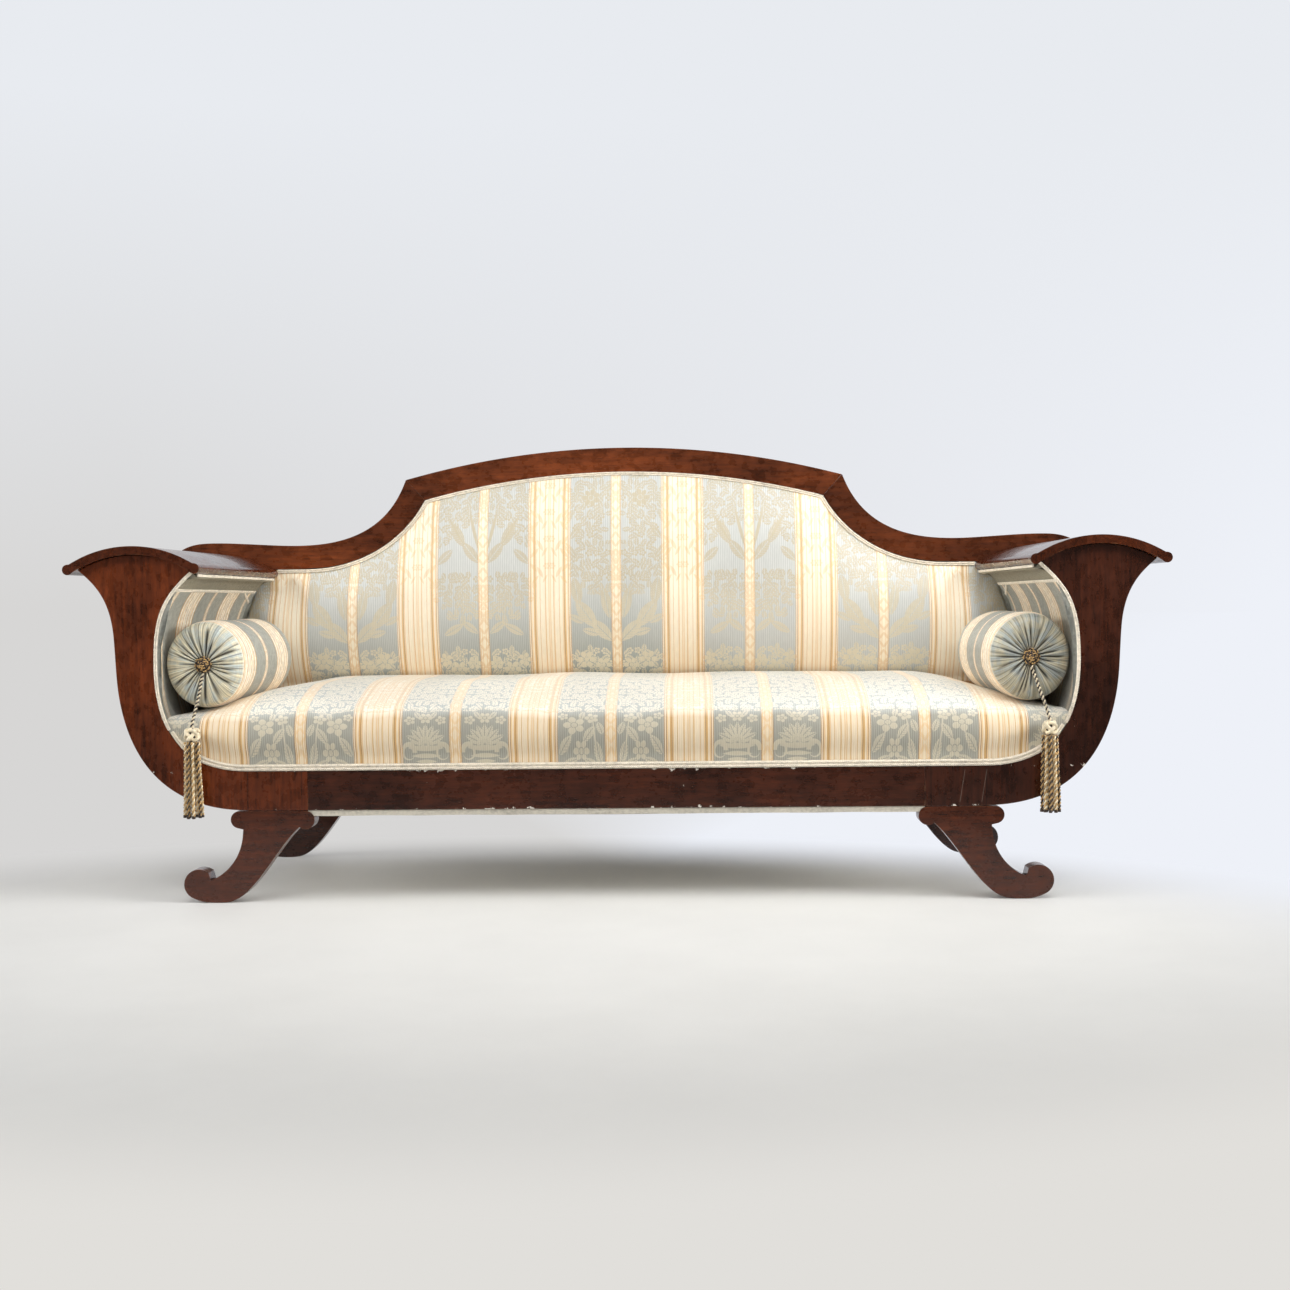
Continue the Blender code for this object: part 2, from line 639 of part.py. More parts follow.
def make_crest(frame):
    inner = np.linspace(-CREST_INNER_HALF_WIDTH, CREST_INNER_HALF_WIDTH, 17)
    outer = np.linspace(CREST_HALF_WIDTH, -CREST_HALF_WIDTH, 19)
    outline = [(x, arch(x, CREST_HEIGHT - CREST_BAND, CREST_INNER_RADIUS)) for x in inner]
    outline += [(x, arch(x, CREST_HEIGHT, CREST_RADIUS)) for x in outer]
    slab("crest_rail", outline, BACK_FRONT_Y, BACK_Y, wood(), frame)

    corner = crest_outer_corner()
    flat = (SHOULDER_FLAT, SHOULDER_HEIGHT)
    crown = (ARM_MIDDLE + TAIL_CROWN_OUT, SHOULDER_HEIGHT + TAIL_RISE)
    end = (ARM_MIDDLE + TAIL_REACH, SHOULDER_UNDERSIDE)
    sweep = swept(corner, flat, SHOULDER_CURVE, 10)
    rise = swept(flat, crown, TAIL_RISE_CURVE, 6)
    fall = swept(crown, end, TAIL_FALL_CURVE, 6)
    inner_corner = crest_inner_corner()
    upper = [corner, *sweep, *rise, *fall]
    gap = 2 * CLEARANCE
    mitre = [(corner[0] + gap, corner[1]), (inner_corner[0] + gap, inner_corner[1])]
    shoulder = [*mitre, *shoulder_inner(), *reversed(upper[1:])]
    for word, side in SIDES:
        slab(f"{word}_crest_shoulder", mirrored(shoulder, side), BACK_FRONT_Y, BACK_Y, wood(), frame)


def make_back_rails(frame):
    heights = np.linspace(STAY_RAIL_LOW, STAY_RAIL_HIGH, 3)
    right = [(inner_x(z) - 2 * CLEARANCE, z) for z in heights]
    outline = right + [(-x, z) for x, z in reversed(right)]
    slab("back_stay_rail", outline, BACK_FRONT_Y, BACK_Y, hidden_wood(), frame)
    for word, side in SIDES:
        xs = [side * STILE_SPACING / 2 - STILE_WIDTH / 2, side * STILE_SPACING / 2 + STILE_WIDTH / 2]
        foot = STAY_RAIL_HIGH + CLEARANCE
        outline = [(xs[0], foot), (xs[1], foot)]
        outline += [(x, crest_inner(x) - CLEARANCE) for x in reversed(xs)]
        slab(f"{word}_back_stile", outline, BACK_Y - STILE_THICKNESS, BACK_Y, hidden_wood(), frame)


def leg_outline():
    """A scroll leg seen from the front, from its inner top corner round to its outer one."""
    x = LEG_MIDDLE
    top = LEG_HEIGHT - CLEARANCE
    outer_roll = (x + TOP_ROLL_OUT, top - OUTER_TOP_ROLL)
    inner_roll = (x - TOP_ROLL_OUT, top - INNER_TOP_ROLL)
    throat = (outer_roll[0] - THROAT_IN, outer_roll[1] - OUTER_TOP_ROLL - THROAT_DROP)
    neck = (x + NECK_OUT, NECK_HEIGHT)
    scroll = (x + FOOT_SCROLL_OUT, FOOT_SCROLL_HEIGHT)
    toe = (x + FOOT_TOE, 0)
    heel = (x + FOOT_HEEL, 0)
    knee = arc(inner_roll, INNER_TOP_ROLL, 312, 90)
    outline = arc(outer_roll, OUTER_TOP_ROLL, 90, -90)
    outline += [throat]
    outline += swept(throat, neck, LEG_OUTER_CURVE)
    outline += arc(scroll, FOOT_SCROLL_RADIUS, 130, -75, 12)
    outline += [toe, heel]
    outline += swept(heel, knee[0], LEG_INNER_CURVE)[:-1]
    return outline + knee


def make_legs(frame):
    rear = BACK_Y - REAR_LEG_SETBACK
    for word, side in SIDES:
        outline = mirrored(leg_outline(), side)
        slab(f"{word}_front_leg", outline, FRONT_Y, FRONT_Y + LEG_THICKNESS, wood(), frame)
        slab(f"{word}_rear_leg", outline, rear - LEG_THICKNESS, rear, wood(), frame)


# Seat upholstery


def web_edges(low, high, count, width):
    """Edges of webs spread evenly between two limits: gap, web, gap, web and so on."""
    middles = np.linspace(low + width / 2, high - width / 2, count)
    return [e for m in middles for e in (m - width / 2, m + width / 2)]


def make_seat_webbing(frame):
    top = LEG_HEIGHT - CLEARANCE
    across = RAIL_JOINT - LINING_MARGIN
    along_front = BOARD_BACK_Y + LINING_MARGIN
    along_back = BACK_FRONT_Y - BLOCK_DEPTH - LINING_MARGIN
    end = END_RAIL_OUTER - LINING_MARGIN
    xs = [-end, *web_edges(-across, across, SEAT_WEBS_ACROSS, WEBBING_WIDTH), end]
    ys = [FRONT_Y + LINING_MARGIN, *web_edges(along_front, along_back, SEAT_WEBS_ALONG, WEBBING_WIDTH)]
    ys.append(BACK_Y - LINING_MARGIN)
    levels = (
        lambda x, y: (x, y, top - WEBBING_THICKNESS),
        lambda x, y: (x, y, top),
    )

    def woven(i, j):
        return i % 2 == 1 or j % 2 == 1

    sheet("seat_webbing", xs, ys, levels, material("jute_webbing", JUTE, 0.9), frame, woven)


def canvas_z(x, y):
    """Underside of the spring canvas: level over the springs, sloping to its tacked border."""
    edge = min(CANVAS_HALF_WIDTH - abs(x), y - CANVAS_FRONT_Y, CANVAS_BACK_Y - y)
    t = min(max(edge / CANVAS_SLOPE, 0), 1)
    return RAIL_TOP + CLEARANCE + CANVAS_RISE * math.sin(t * math.pi / 2)


def canvas_columns():
    """Canvas stations from its left edge to its right edge, with its sloping borders between them."""
    half = [CANVAS_HALF_WIDTH - CANVAS_SLOPE * share for share in CANVAS_BORDER]
    return [-x for x in half] + half[::-1]


def canvas_rows():
    """Canvas stations from front to back."""
    steps = [CANVAS_SLOPE * share for share in CANVAS_BORDER]
    return [CANVAS_FRONT_Y + step for step in steps] + [CANVAS_BACK_Y - step for step in reversed(steps)]


def seat_rows():
    """Seat stations from front to back: the rounded front edge, the canvas's own and three between them."""
    canvas = canvas_rows()
    inner = len(CANVAS_BORDER)
    middle = np.linspace(canvas[inner - 1], canvas[inner], 5)[1:-1]
    edge = (CANVAS_FRONT_Y - FRONT_Y) / 2
    return [FRONT_Y, FRONT_Y + edge, *canvas[:inner], *middle, *canvas[inner:], SEAT_BACK_Y]


def seat_columns():
    """Seat stations from end to end: the rounded ends, the canvas's own and the middle."""
    canvas = canvas_columns()
    inner = len(CANVAS_BORDER)
    middle = np.linspace(canvas[inner - 1], canvas[inner], 8)[1:-1]
    end = inner_x(SEAT_EDGE_HEIGHT) - ARM_PAD_THICKNESS
    span = end - CANVAS_HALF_WIDTH
    ends = [end - span * share for share in SEAT_END_STATIONS]
    return [-x for x in ends] + canvas[:inner] + list(middle) + canvas[inner:] + ends[::-1]


def smoothstep(t):
    t = min(max(t, 0), 1)
    return t * t * (3 - 2 * t)


def seat_top(x, y):
    """Height of the seat: a crown that falls to the front edge and to both ends."""
    end = inner_x(SEAT_EDGE_HEIGHT)
    across = smoothstep((end - abs(x)) / SEAT_END_SLOPE)
    t = min(max((y - FRONT_Y) / SEAT_FRONT_SLOPE, 0), 1)
    along = math.sin(t * math.pi / 2) ** 0.8
    along = SEAT_EDGE_CROWN + (1 - SEAT_EDGE_CROWN) * along
    edge_drop = SEAT_EDGE_DROP * (1 - smoothstep((y - FRONT_Y) / SEAT_EDGE_DEPTH))
    return SEAT_EDGE_HEIGHT + SEAT_CROWN * across * along - edge_drop


def seat_bottom(x, y):
    """Underside of the seat, which lies on the canvas and, past it, follows the frame's inner edge."""
    lifted = canvas_z(x, y) + CANVAS_THICKNESS + CLEARANCE
    return max(lifted, inner_z(abs(x)) + 4 * CLEARANCE)


def make_seat_cushion(frame):
    edge = [(0, RAIL_TOP), *inner_contour()]

    def near_top(share):
        return smoothstep((share - SEAT_SHOULDER) / (1 - SEAT_SHOULDER))

    def lean(x, y, z, share):
        """The front face swells forward above its braid, and the back face leans in at the top."""
        if y == FRONT_Y:
            clear = line_distance(edge, abs(x), z) - 2 * SEAT_GIMP_WIDTH
            return y - SEAT_BULGE * smoothstep(clear / SEAT_SWELL) * (1 - 0.9 * near_top(share))
        near_back = smoothstep(1 - (SEAT_BACK_Y - y) / (4 * SEAT_BACK_LEAN))
        return y - SEAT_BACK_LEAN * near_back * near_top(share)

    def rim(share):
        def place(x, y):
            low = seat_bottom(x, y)
            z = low + share * (seat_top(x, y) - low)
            return (x, lean(x, y, z, share), z)

        return place

    levels = [rim(share) for share in SEAT_RIM_STATIONS]
    finish = material("striped_damask", DAMASK, 0.6)
    sheet("seat_cushion", seat_columns(), seat_rows(), levels, finish, frame)


def make_seat_canvas(frame):
    levels = (
        lambda x, y: (x, y, canvas_z(x, y)),
        lambda x, y: (x, y, canvas_z(x, y) + CANVAS_THICKNESS),
    )
    hessian = material("hessian", JUTE, 0.95)
    sheet("seat_canvas", canvas_columns(), canvas_rows(), levels, hessian, frame)


def spring_route():
    """One wire through both rows of springs: up one coil, across its top, down the next."""
    low = LEG_HEIGHT + SPRING_WIRE / 2
    high = RAIL_TOP + CANVAS_RISE - SPRING_WIRE / 2
    middle_y = (CANVAS_FRONT_Y + CANVAS_BACK_Y) / 2
    end = CANVAS_HALF_WIDTH - SPRING_END_MARGIN
    xs = list(np.linspace(-end, end, SPRINGS_PER_ROW))
    offset = (CANVAS_BACK_Y - CANVAS_FRONT_Y) / 2 - SPRING_ROW_MARGIN
    rows = ((xs, middle_y - offset, -90), (xs[::-1], middle_y + offset, 90))
    points = []
    rising = True
    for row_xs, y, start in rows:
        for x in row_xs:
            for k in range(SPRING_TURNS * SPRING_POINTS + 1):
                share = k / (SPRING_TURNS * SPRING_POINTS)
                angle = math.radians(start) + 2 * math.pi * k / SPRING_POINTS
                height = low + (high - low) * (share if rising else 1 - share)
                place = (x + SPRING_RADIUS * math.cos(angle), y + SPRING_RADIUS * math.sin(angle), height)
                points.append(place)
            rising = not rising
        if row_xs is xs:
            level = low if rising else high
            for angle in np.radians((-60, -30, 0, 30, 60)):
                reach = offset + SPRING_RADIUS
                points.append((xs[-1] + reach * math.cos(angle), middle_y + reach * math.sin(angle), level))
    return points


def make_seat_springs(frame):
    route = spring_route()
    places = np.array(route)
    gap = np.linalg.norm(places[:, None] - places[None], axis=2)
    apart = np.abs(np.subtract.outer(range(len(route)), range(len(route)))) > SPRING_POINTS // 2
    print(f"seat_springs: least gap to itself {1000 * (gap[apart].min() - SPRING_WIRE):.1f} mm")
    tube("seat_springs", route, SPRING_WIRE, 0, material("spring_steel", STEEL, 0.35, 1.0), frame)


def make_bottom_lining(frame):
    top = LEG_HEIGHT - 2 * CLEARANCE - WEBBING_THICKNESS
    narrow = LEG_MIDDLE - TOP_ROLL_OUT - INNER_TOP_ROLL - LINING_MARGIN
    wide = END_RAIL_OUTER - LINING_MARGIN
    xs = [-wide, *np.linspace(-narrow, narrow, 7), wide]
    front = FRONT_Y + LINING_MARGIN
    back = BACK_Y - LINING_MARGIN
    notch_front = BOARD_BACK_Y
    notch_back = BACK_Y - REAR_LEG_SETBACK - LEG_THICKNESS - LINING_MARGIN
    ys = [front, notch_front, (notch_front + notch_back) / 2, notch_back, back]

    def low(x, y):
        across = 1 - (x / wide) ** 2
        return (x, y, top - LINING_THICKNESS - LINING_SAG * across)

    def high(x, y):
        return (x, y, low(x, y)[2] + LINING_THICKNESS)

    def inside(i, j):
        return 0 < i < len(xs) - 2 or 0 < j < len(ys) - 2

    sheet("bottom_lining", xs, ys, (low, high), material("dust_cloth", LINEN, 0.9), frame, inside)


# Back upholstery


def back_half_columns():
    """Stations over half of the back: the crest's own, then the post's, to where the arms draw it in."""
    end = inner_x(STAY_RAIL_HIGH) - 2 * CLEARANCE
    post = [POST_TOP_INNER, *[x for x, _ in reversed(inner_flare())]]
    return [*[x for x, _ in crest_line()], *[x for x in post if x < end - 2 * LINING_MARGIN], end]


def back_top(x):
    """Top edge of the back pad: under the crest, then along the post's inner edge."""
    line = np.array([*inner_flare(), (POST_TOP_INNER, POST_TOP)])[::-1]
    along_post = float(np.interp(abs(x), line[:, 0], line[:, 1], left=CREST_HEIGHT))
    return min(crest_inner(x), along_post) - 2 * CLEARANCE


def braid_drops():
    """How far below the pad's top edge its braid reaches at each station of the crest, measured upright."""
    line = np.array(crest_line())
    rises = np.diff(line[:, 1]) / np.diff(line[:, 0])
    lengths = BACK_BRAID_EDGE * np.hypot(1, rises)
    return line[:, 0], np.maximum([*lengths, 0], [0, *lengths])


def board_distance(x, z):
    """Distance from a point below or beside the arm board to the board's underside and rolled edge."""
    roll_x = ARM_BOARD_EDGE + ROLL_RADIUS
    if abs(x) < roll_x:
        return math.hypot(abs(x) - roll_x, z - ROLL_HEIGHT) - ROLL_RADIUS
    return min(board_arc(abs(x), ARM_BOARD_THICKNESS), ROLL_HEIGHT - ROLL_RADIUS) - z


def pad_depth(x, z):
    """How far the back pad stands out, from its distance to its edges."""
    from_crest = line_distance(crest_line(), abs(x), z) - BACK_BRAID_EDGE
    from_board = board_distance(x, z) - 4 * BACK_GIMP_WIDTH
    from_sides = min(inner_x(z) - abs(x), z - STAY_RAIL_HIGH) - BACK_GIMP_WIDTH
    edge = max(min(from_crest, from_board, from_sides), 0)
    t = min(edge / BACK_CROWN_SLOPE, 1)
    return BACK_CROWN * (1 - (1 - t) ** 2)


def make_back_pad(frame):
    half = back_half_columns()
    columns = [-x for x in reversed(half[1:])] + half
    drop_xs, drops = braid_drops()
    bottom = STAY_RAIL_HIGH + CLEARANCE
    rear = BACK_FRONT_Y + BACK_PAD_THICKNESS

    def height(x, share):
        top = back_top(x)
        if share is None:
            return top
        under_braid = top - float(np.interp(abs(x), drop_xs, drops))
        return bottom + share * (under_braid - bottom)

    def behind(x, share):
        return (x, rear, height(x, share))

    def front(x, share):
        z = height(x, share)
        level = share is None or share == BACK_PAD_STATIONS[-1]
        return (x, BACK_FRONT_Y - (0 if level else pad_depth(x, z)), z)

    rows = (*BACK_PAD_STATIONS, None)
    sheet("back_pad", columns, rows, (behind, front), material("striped_damask", DAMASK, 0.6), frame)


def make_back_webbing(frame):
    near = BACK_FRONT_Y + BACK_PAD_THICKNESS + CLEARANCE
    reach = SHOULDER_INNER_FLAT
    xs = web_edges(-reach, reach, BACK_WEBS_UP, WEBBING_WIDTH)
    low = STAY_RAIL_HIGH + CLEARANCE
    high = SHOULDER_UNDERSIDE - WEBBING_WIDTH
    zs = [low, *web_edges(low + WEBBING_WIDTH, high, BACK_WEBS_ALONG, WEBBING_WIDTH), None]
    middles = np.array(xs).reshape(-1, 2).mean(axis=1)

    def web_end(x):
        """A web's level top end, under the lower of the crest's heights at its two edges."""
        middle = middles[np.abs(middles - x).argmin()]
        edges = (middle - WEBBING_WIDTH / 2, middle + WEBBING_WIDTH / 2)
        return min(crest_inner(edge) for edge in edges) - CLEARANCE

    def place(y):
        return lambda x, z: (x, y, web_end(x) if z is None else z)

    def woven(i, j):
        return i % 2 == 0 or j % 2 == 1

    levels = (place(near), place(near + WEBBING_THICKNESS))
    sheet("back_webbing", xs, zs, levels, material("jute_webbing", JUTE, 0.9), frame, woven)


def make_back_cover(frame):
    inner = inner_contour()
    level = SHOULDER_UNDERSIDE + COVER_LAP
    side = [tuple(p) for p in offset_line(inner, -COVER_LAP) if p[1] < level]
    base = RAIL_TOP - COVER_LAP
    arch_xs = np.linspace(CREST_INNER_HALF_WIDTH, 0, 7)
    crest = [(x, arch(x, CREST_HEIGHT - CREST_BAND, CREST_INNER_RADIUS) + COVER_LAP) for x in arch_xs]
    sweep = [(x, z + COVER_LAP) for x, z in reversed(shoulder_inner())]
    half = [(0, base), *side, (ARM_MIDDLE - INNER_FLARE, level), *sweep, *crest]
    outline = half[:-1] + [(0, half[-1][1])] + [(-x, z) for x, z in reversed(half[1:-1])]
    front = BACK_Y + CLEARANCE
    slab("back_outer_cover", outline, front, DEPTH / 2, material("back_lining", LINEN, 0.9), frame)


# Arm upholstery


def contour_between(points, low, high):
    """The stretch of a rising line between two heights, with its ends cut there."""
    line = np.array(points)
    ends = [(float(np.interp(z, line[:, 1], line[:, 0])), z) for z in (low, high)]
    return [ends[0], *[p for p in points if low + LINING_MARGIN < p[1] < high - LINING_MARGIN], ends[1]]


def outer_cover_line():
    """The outer edge from just under the arm board down to the seat's end rail."""
    line = np.array(outer_contour())
    foot_x = END_RAIL_OUTER + CLEARANCE
    foot = (foot_x, float(np.interp(foot_x, line[::-1, 0], line[::-1, 1])))
    under_board = line[0][1] - 2 * COVER_THICKNESS
    return [tuple(p) for p in line if p[1] < under_board and p[0] > foot_x + COVER_THICKNESS] + [foot]


def make_arm_upholstery(frame):
    damask = material("blue_striped_silk", BLUE_STRIPE, 0.6)
    gimp = material("braid", BRAID, 0.8)
    pad_foot = SEAT_EDGE_HEIGHT + ARM_PAD_LIFT
    contour = inner_contour()
    contour_top = contour[-1][1]
    pad_line = contour_between(contour, pad_foot, ARM_PAD_TOP)
    gimp_line = contour_between(contour, pad_foot, contour_top)
    top_line = contour_between(contour, ARM_PAD_TOP + UNDER_ARM_THICKNESS, contour_top)
    roll_x = ARM_BOARD_EDGE + ROLL_RADIUS
    roll_foot = ROLL_HEIGHT - ROLL_RADIUS
    under_line = [*top_line, (roll_x, roll_foot - UNDER_ARM_THICKNESS - 4 * CLEARANCE)]
    edge_x = roll_x - CLEARANCE
    edge_top = roll_foot - CLEARANCE
    edge_line = [(edge_x, edge_top - UNDER_ARM_THICKNESS - GIMP_THICKNESS), (edge_x, edge_top)]
    near = 2 * CLEARANCE
    gimp_span = (FRONT_Y, FRONT_Y + GIMP_THICKNESS)
    pad_span = (gimp_span[1] + CLEARANCE, BACK_FRONT_Y - ARM_PAD_GAP)
    cover_span = (BOARD_BACK_Y + CLEARANCE, BACK_FRONT_Y - CLEARANCE)
    pieces = (
        ("arm_pad", pad_line, near, near + ARM_PAD_THICKNESS, pad_span, damask),
        ("under_arm_lining", under_line, near, near + UNDER_ARM_THICKNESS, pad_span, damask),
        ("outside_arm_cover", outer_cover_line(), -COVER_THICKNESS, 0, cover_span, damask),
        ("arm_gimp", gimp_line, near, near + ARM_GIMP_WIDTH, gimp_span, gimp),
        ("arm_top_gimp", edge_line, CLEARANCE, CLEARANCE + GIMP_THICKNESS, pad_span, gimp),
    )
    for word, side in SIDES:
        for name, line, low, high, span, finish in pieces:
            placed = [(side * x, z) for x, z in line]
            strip(f"{word}_{name}", placed, side * low, side * high, *span, finish, frame)


def make_gimps(frame):
    gimp = material("braid", BRAID, 0.8)
    right = [p for p in inner_contour() if p[1] < SEAT_EDGE_HEIGHT - SEAT_GIMP_WIDTH]
    line = [(-x, z) for x, z in reversed(right)] + right
    near = 2 * CLEARANCE
    back = FRONT_Y - CLEARANCE
    strip("seat_gimp", line, near, near + SEAT_GIMP_WIDTH, back - GIMP_THICKNESS, back, gimp, frame)
    crest = crest_line()
    line = [(-x, z) for x, z in reversed(crest[1:])] + crest
    back = BACK_FRONT_Y - CLEARANCE
    strip("back_gimp", line, -near - BACK_GIMP_WIDTH, -near, back - GIMP_THICKNESS, back, gimp, frame)


# Bolsters


def bolster_ring(middle, y, radius, pleat=0.0, ahead=1):
    """One ring of a bolster, with the end's gathered pleats as a wave along Y."""

    def place(angle):
        wave = ahead * pleat * math.cos(BOLSTER_PLEATS * angle)
        across = BOLSTER_HALF_WIDTH * radius * math.cos(angle)
        up = BOLSTER_HALF_HEIGHT * radius * math.sin(angle)
        return (middle + across, y + wave, BOLSTER_HEIGHT + up)

    return place


def make_bolster(word, side, parent):
    middle = side * BOLSTER_MIDDLE
    front = BOLSTER_FRONT_Y + PLEAT_DEPTH
    back = BOLSTER_BACK_Y - PLEAT_DEPTH
    end = ((0, BOLSTER_DISH, 0), (BOLSTER_EYE, BOLSTER_DISH, 0), *BOLSTER_END)
    rings = [bolster_ring(middle, front + y, r, p * PLEAT_DEPTH, -1) for r, y, p in end]
    rings += [bolster_ring(middle, back - y, r, p * PLEAT_DEPTH) for r, y, p in reversed(end)]
    finish = material("blue_striped_silk", BLUE_STRIPE, 0.6)
    turned(f"{word}_bolster", rings, 3 * BOLSTER_PLEATS, finish, parent)


def make_rosettes(word, side, parent):
    middle = side * BOLSTER_MIDDLE
    finish = material("tassel_silk", TASSEL_SILK, 0.7)
    seats = (
        ("front", BOLSTER_FRONT_Y + PLEAT_DEPTH + BOLSTER_DISH - CLEARANCE, -1),
        ("rear", BOLSTER_BACK_Y - PLEAT_DEPTH - BOLSTER_DISH + CLEARANCE, 1),
    )
    for end, seat, ahead in seats:

        def ring(radius, depth, lobed, seat=seat, ahead=ahead):
            def place(angle):
                swell = radius * (1 + lobed * math.cos(ROSETTE_LOBES * angle))
                x = middle + swell * math.cos(angle)
                return (x, seat + ahead * depth, BOLSTER_HEIGHT + swell * math.sin(angle))

            return place

        rings = [
            ring(0, 0, 0),
            ring(0.80 * ROSETTE_RADIUS, 0, 0),
            ring(0.94 * ROSETTE_RADIUS, 0.45 * ROSETTE_DEPTH, 0.06),
            ring(0.55 * ROSETTE_RADIUS, 0.95 * ROSETTE_DEPTH, 0.06),
            ring(0, ROSETTE_DEPTH, 0),
        ]
        turned(f"{word}_{end}_rosette", rings, 2 * ROSETTE_LOBES, finish, parent)


def make_tassel(word, side, route, parent):
    finish = material("tassel_silk", TASSEL_SILK, 0.7)
    places = [(side * (BOLSTER_MIDDLE + out), FRONT_Y + back, up) for out, back, up in route]
    tube(f"{word}_tassel_cord", smooth_route(places, 2 * CORD_DIAMETER), CORD_DIAMETER, 2, finish, parent)
    x, y, z = places[-1]
    top = z - CLEARANCE

    def ring(radius, height, fluted=0.0):
        def place(angle):
            swell = radius * (1 + fluted * math.cos(TASSEL_STRANDS * angle))
            return (x + swell * math.cos(angle), y + swell * math.sin(angle), height)

        return place

    half = KNOT_LENGTH / 2
    steps = np.radians((90, 50, 20, -20, -50, -90))
    knot = [ring(KNOT_WIDTH / 2 * max(math.cos(a), 0), top - half + half * math.sin(a)) for a in steps]
    turned(f"{word}_tassel_knot", knot, 12, finish, parent)
    head = top - KNOT_LENGTH - CLEARANCE
    foot = head - TASSEL_LENGTH
    skirt = [
        ring(0, head),
        ring(0.6 * TASSEL_TOP_RADIUS, head),
        ring(TASSEL_TOP_RADIUS, head - TASSEL_SHOULDER, 0.06),
        ring((TASSEL_TOP_RADIUS + TASSEL_FOOT_RADIUS) / 2, (head + foot) / 2, 0.08),
        ring(TASSEL_FOOT_RADIUS, foot, 0.10),
        ring(0, foot),
    ]
    turned(f"{word}_tassel", skirt, 3 * TASSEL_STRANDS, finish, parent)


def main():
    clear_scene()
    frame = add_empty("sofa", (0, 0, 0))
    make_seat_frame(frame)
    make_arm_fronts(frame)
    make_arm_rails(frame)
    make_arm_tops(frame)
    make_back_posts(frame)
    make_crest(frame)
    make_back_rails(frame)
    make_legs(frame)
    make_seat_webbing(frame)
    make_seat_springs(frame)
    make_seat_canvas(frame)
    make_seat_cushion(frame)
    make_bottom_lining(frame)
    make_back_webbing(frame)
    make_back_pad(frame)
    make_back_cover(frame)
    make_arm_upholstery(frame)
    make_gimps(frame)
    for (word, side), route in zip(SIDES, (LEFT_CORD, RIGHT_CORD)):
        middle_y = (BOLSTER_FRONT_Y + BOLSTER_BACK_Y) / 2
        lift = add_empty(f"{word}_bolster_lift", (side * BOLSTER_MIDDLE, middle_y, BOLSTER_HEIGHT))
        make_bolster(word, side, lift)
        make_rosettes(word, side, lift)
        make_tassel(word, side, route, lift)


main()
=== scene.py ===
"""Finishes the scroll-armed sofa: polished mahogany, striped damask, striped silk, braids and tassels.

Metres, +Z up, in the frame of the sofa's own solids. The sofa faces -Y, and left (-X) and right (+X) are as
seen from the front. Patterns on cloth are drawn in millimetres.
"""

import math
import random
from contextlib import contextmanager
from functools import partial

import bmesh
import bpy
import numpy as np
from bpy.props import FloatProperty, FloatVectorProperty, IntProperty, PointerProperty
from mathutils import Matrix, Vector, noise


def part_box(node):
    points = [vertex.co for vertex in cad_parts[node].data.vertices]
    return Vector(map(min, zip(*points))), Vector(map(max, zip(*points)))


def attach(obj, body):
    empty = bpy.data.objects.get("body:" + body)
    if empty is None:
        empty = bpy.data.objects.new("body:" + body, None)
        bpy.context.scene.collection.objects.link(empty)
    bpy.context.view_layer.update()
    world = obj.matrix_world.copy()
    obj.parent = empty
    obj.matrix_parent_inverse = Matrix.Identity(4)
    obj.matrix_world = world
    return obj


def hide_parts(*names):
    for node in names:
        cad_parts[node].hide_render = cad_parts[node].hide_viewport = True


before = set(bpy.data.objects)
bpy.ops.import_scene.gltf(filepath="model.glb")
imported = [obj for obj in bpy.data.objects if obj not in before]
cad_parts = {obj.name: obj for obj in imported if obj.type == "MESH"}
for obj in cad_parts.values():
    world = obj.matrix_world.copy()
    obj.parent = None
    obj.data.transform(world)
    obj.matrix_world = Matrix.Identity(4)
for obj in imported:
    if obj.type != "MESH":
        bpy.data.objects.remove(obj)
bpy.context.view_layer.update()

bl_info = {
    "name": "Scroll-Armed Sofa",
    "version": (1, 0, 0),
    "blender": (4, 5, 0),
    "location": "3D View > Sidebar > Sofa",
    "description": "Dresses a wooden frame sofa in polish, striped damask, braid and tassels",
    "category": "Add Mesh",
}

# Places read from the frame
RAIL_LOW, RAIL_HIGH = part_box("front_rail")
CREST_LOW, CREST_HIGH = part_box("crest_rail")
BOARD_LOW, BOARD_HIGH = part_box("right_arm_top")
BACK_LOW, BACK_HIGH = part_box("back_pad")
BOLSTER_LOW, BOLSTER_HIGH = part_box("right_bolster")
FRONT_Y = RAIL_LOW.y
RAIL_TOP = RAIL_HIGH.z
BACK_FRONT_Y = CREST_LOW.y
SEAT_BACK_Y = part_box("seat_cushion")[1].y
ARM_MIDDLE = (BOARD_LOW.x + BOARD_HIGH.x) / 2
BOLSTER_MIDDLE = (BOLSTER_LOW + BOLSTER_HIGH) / 2
SIDES = (("left", -1), ("right", 1))
X, Y, Z = range(3)

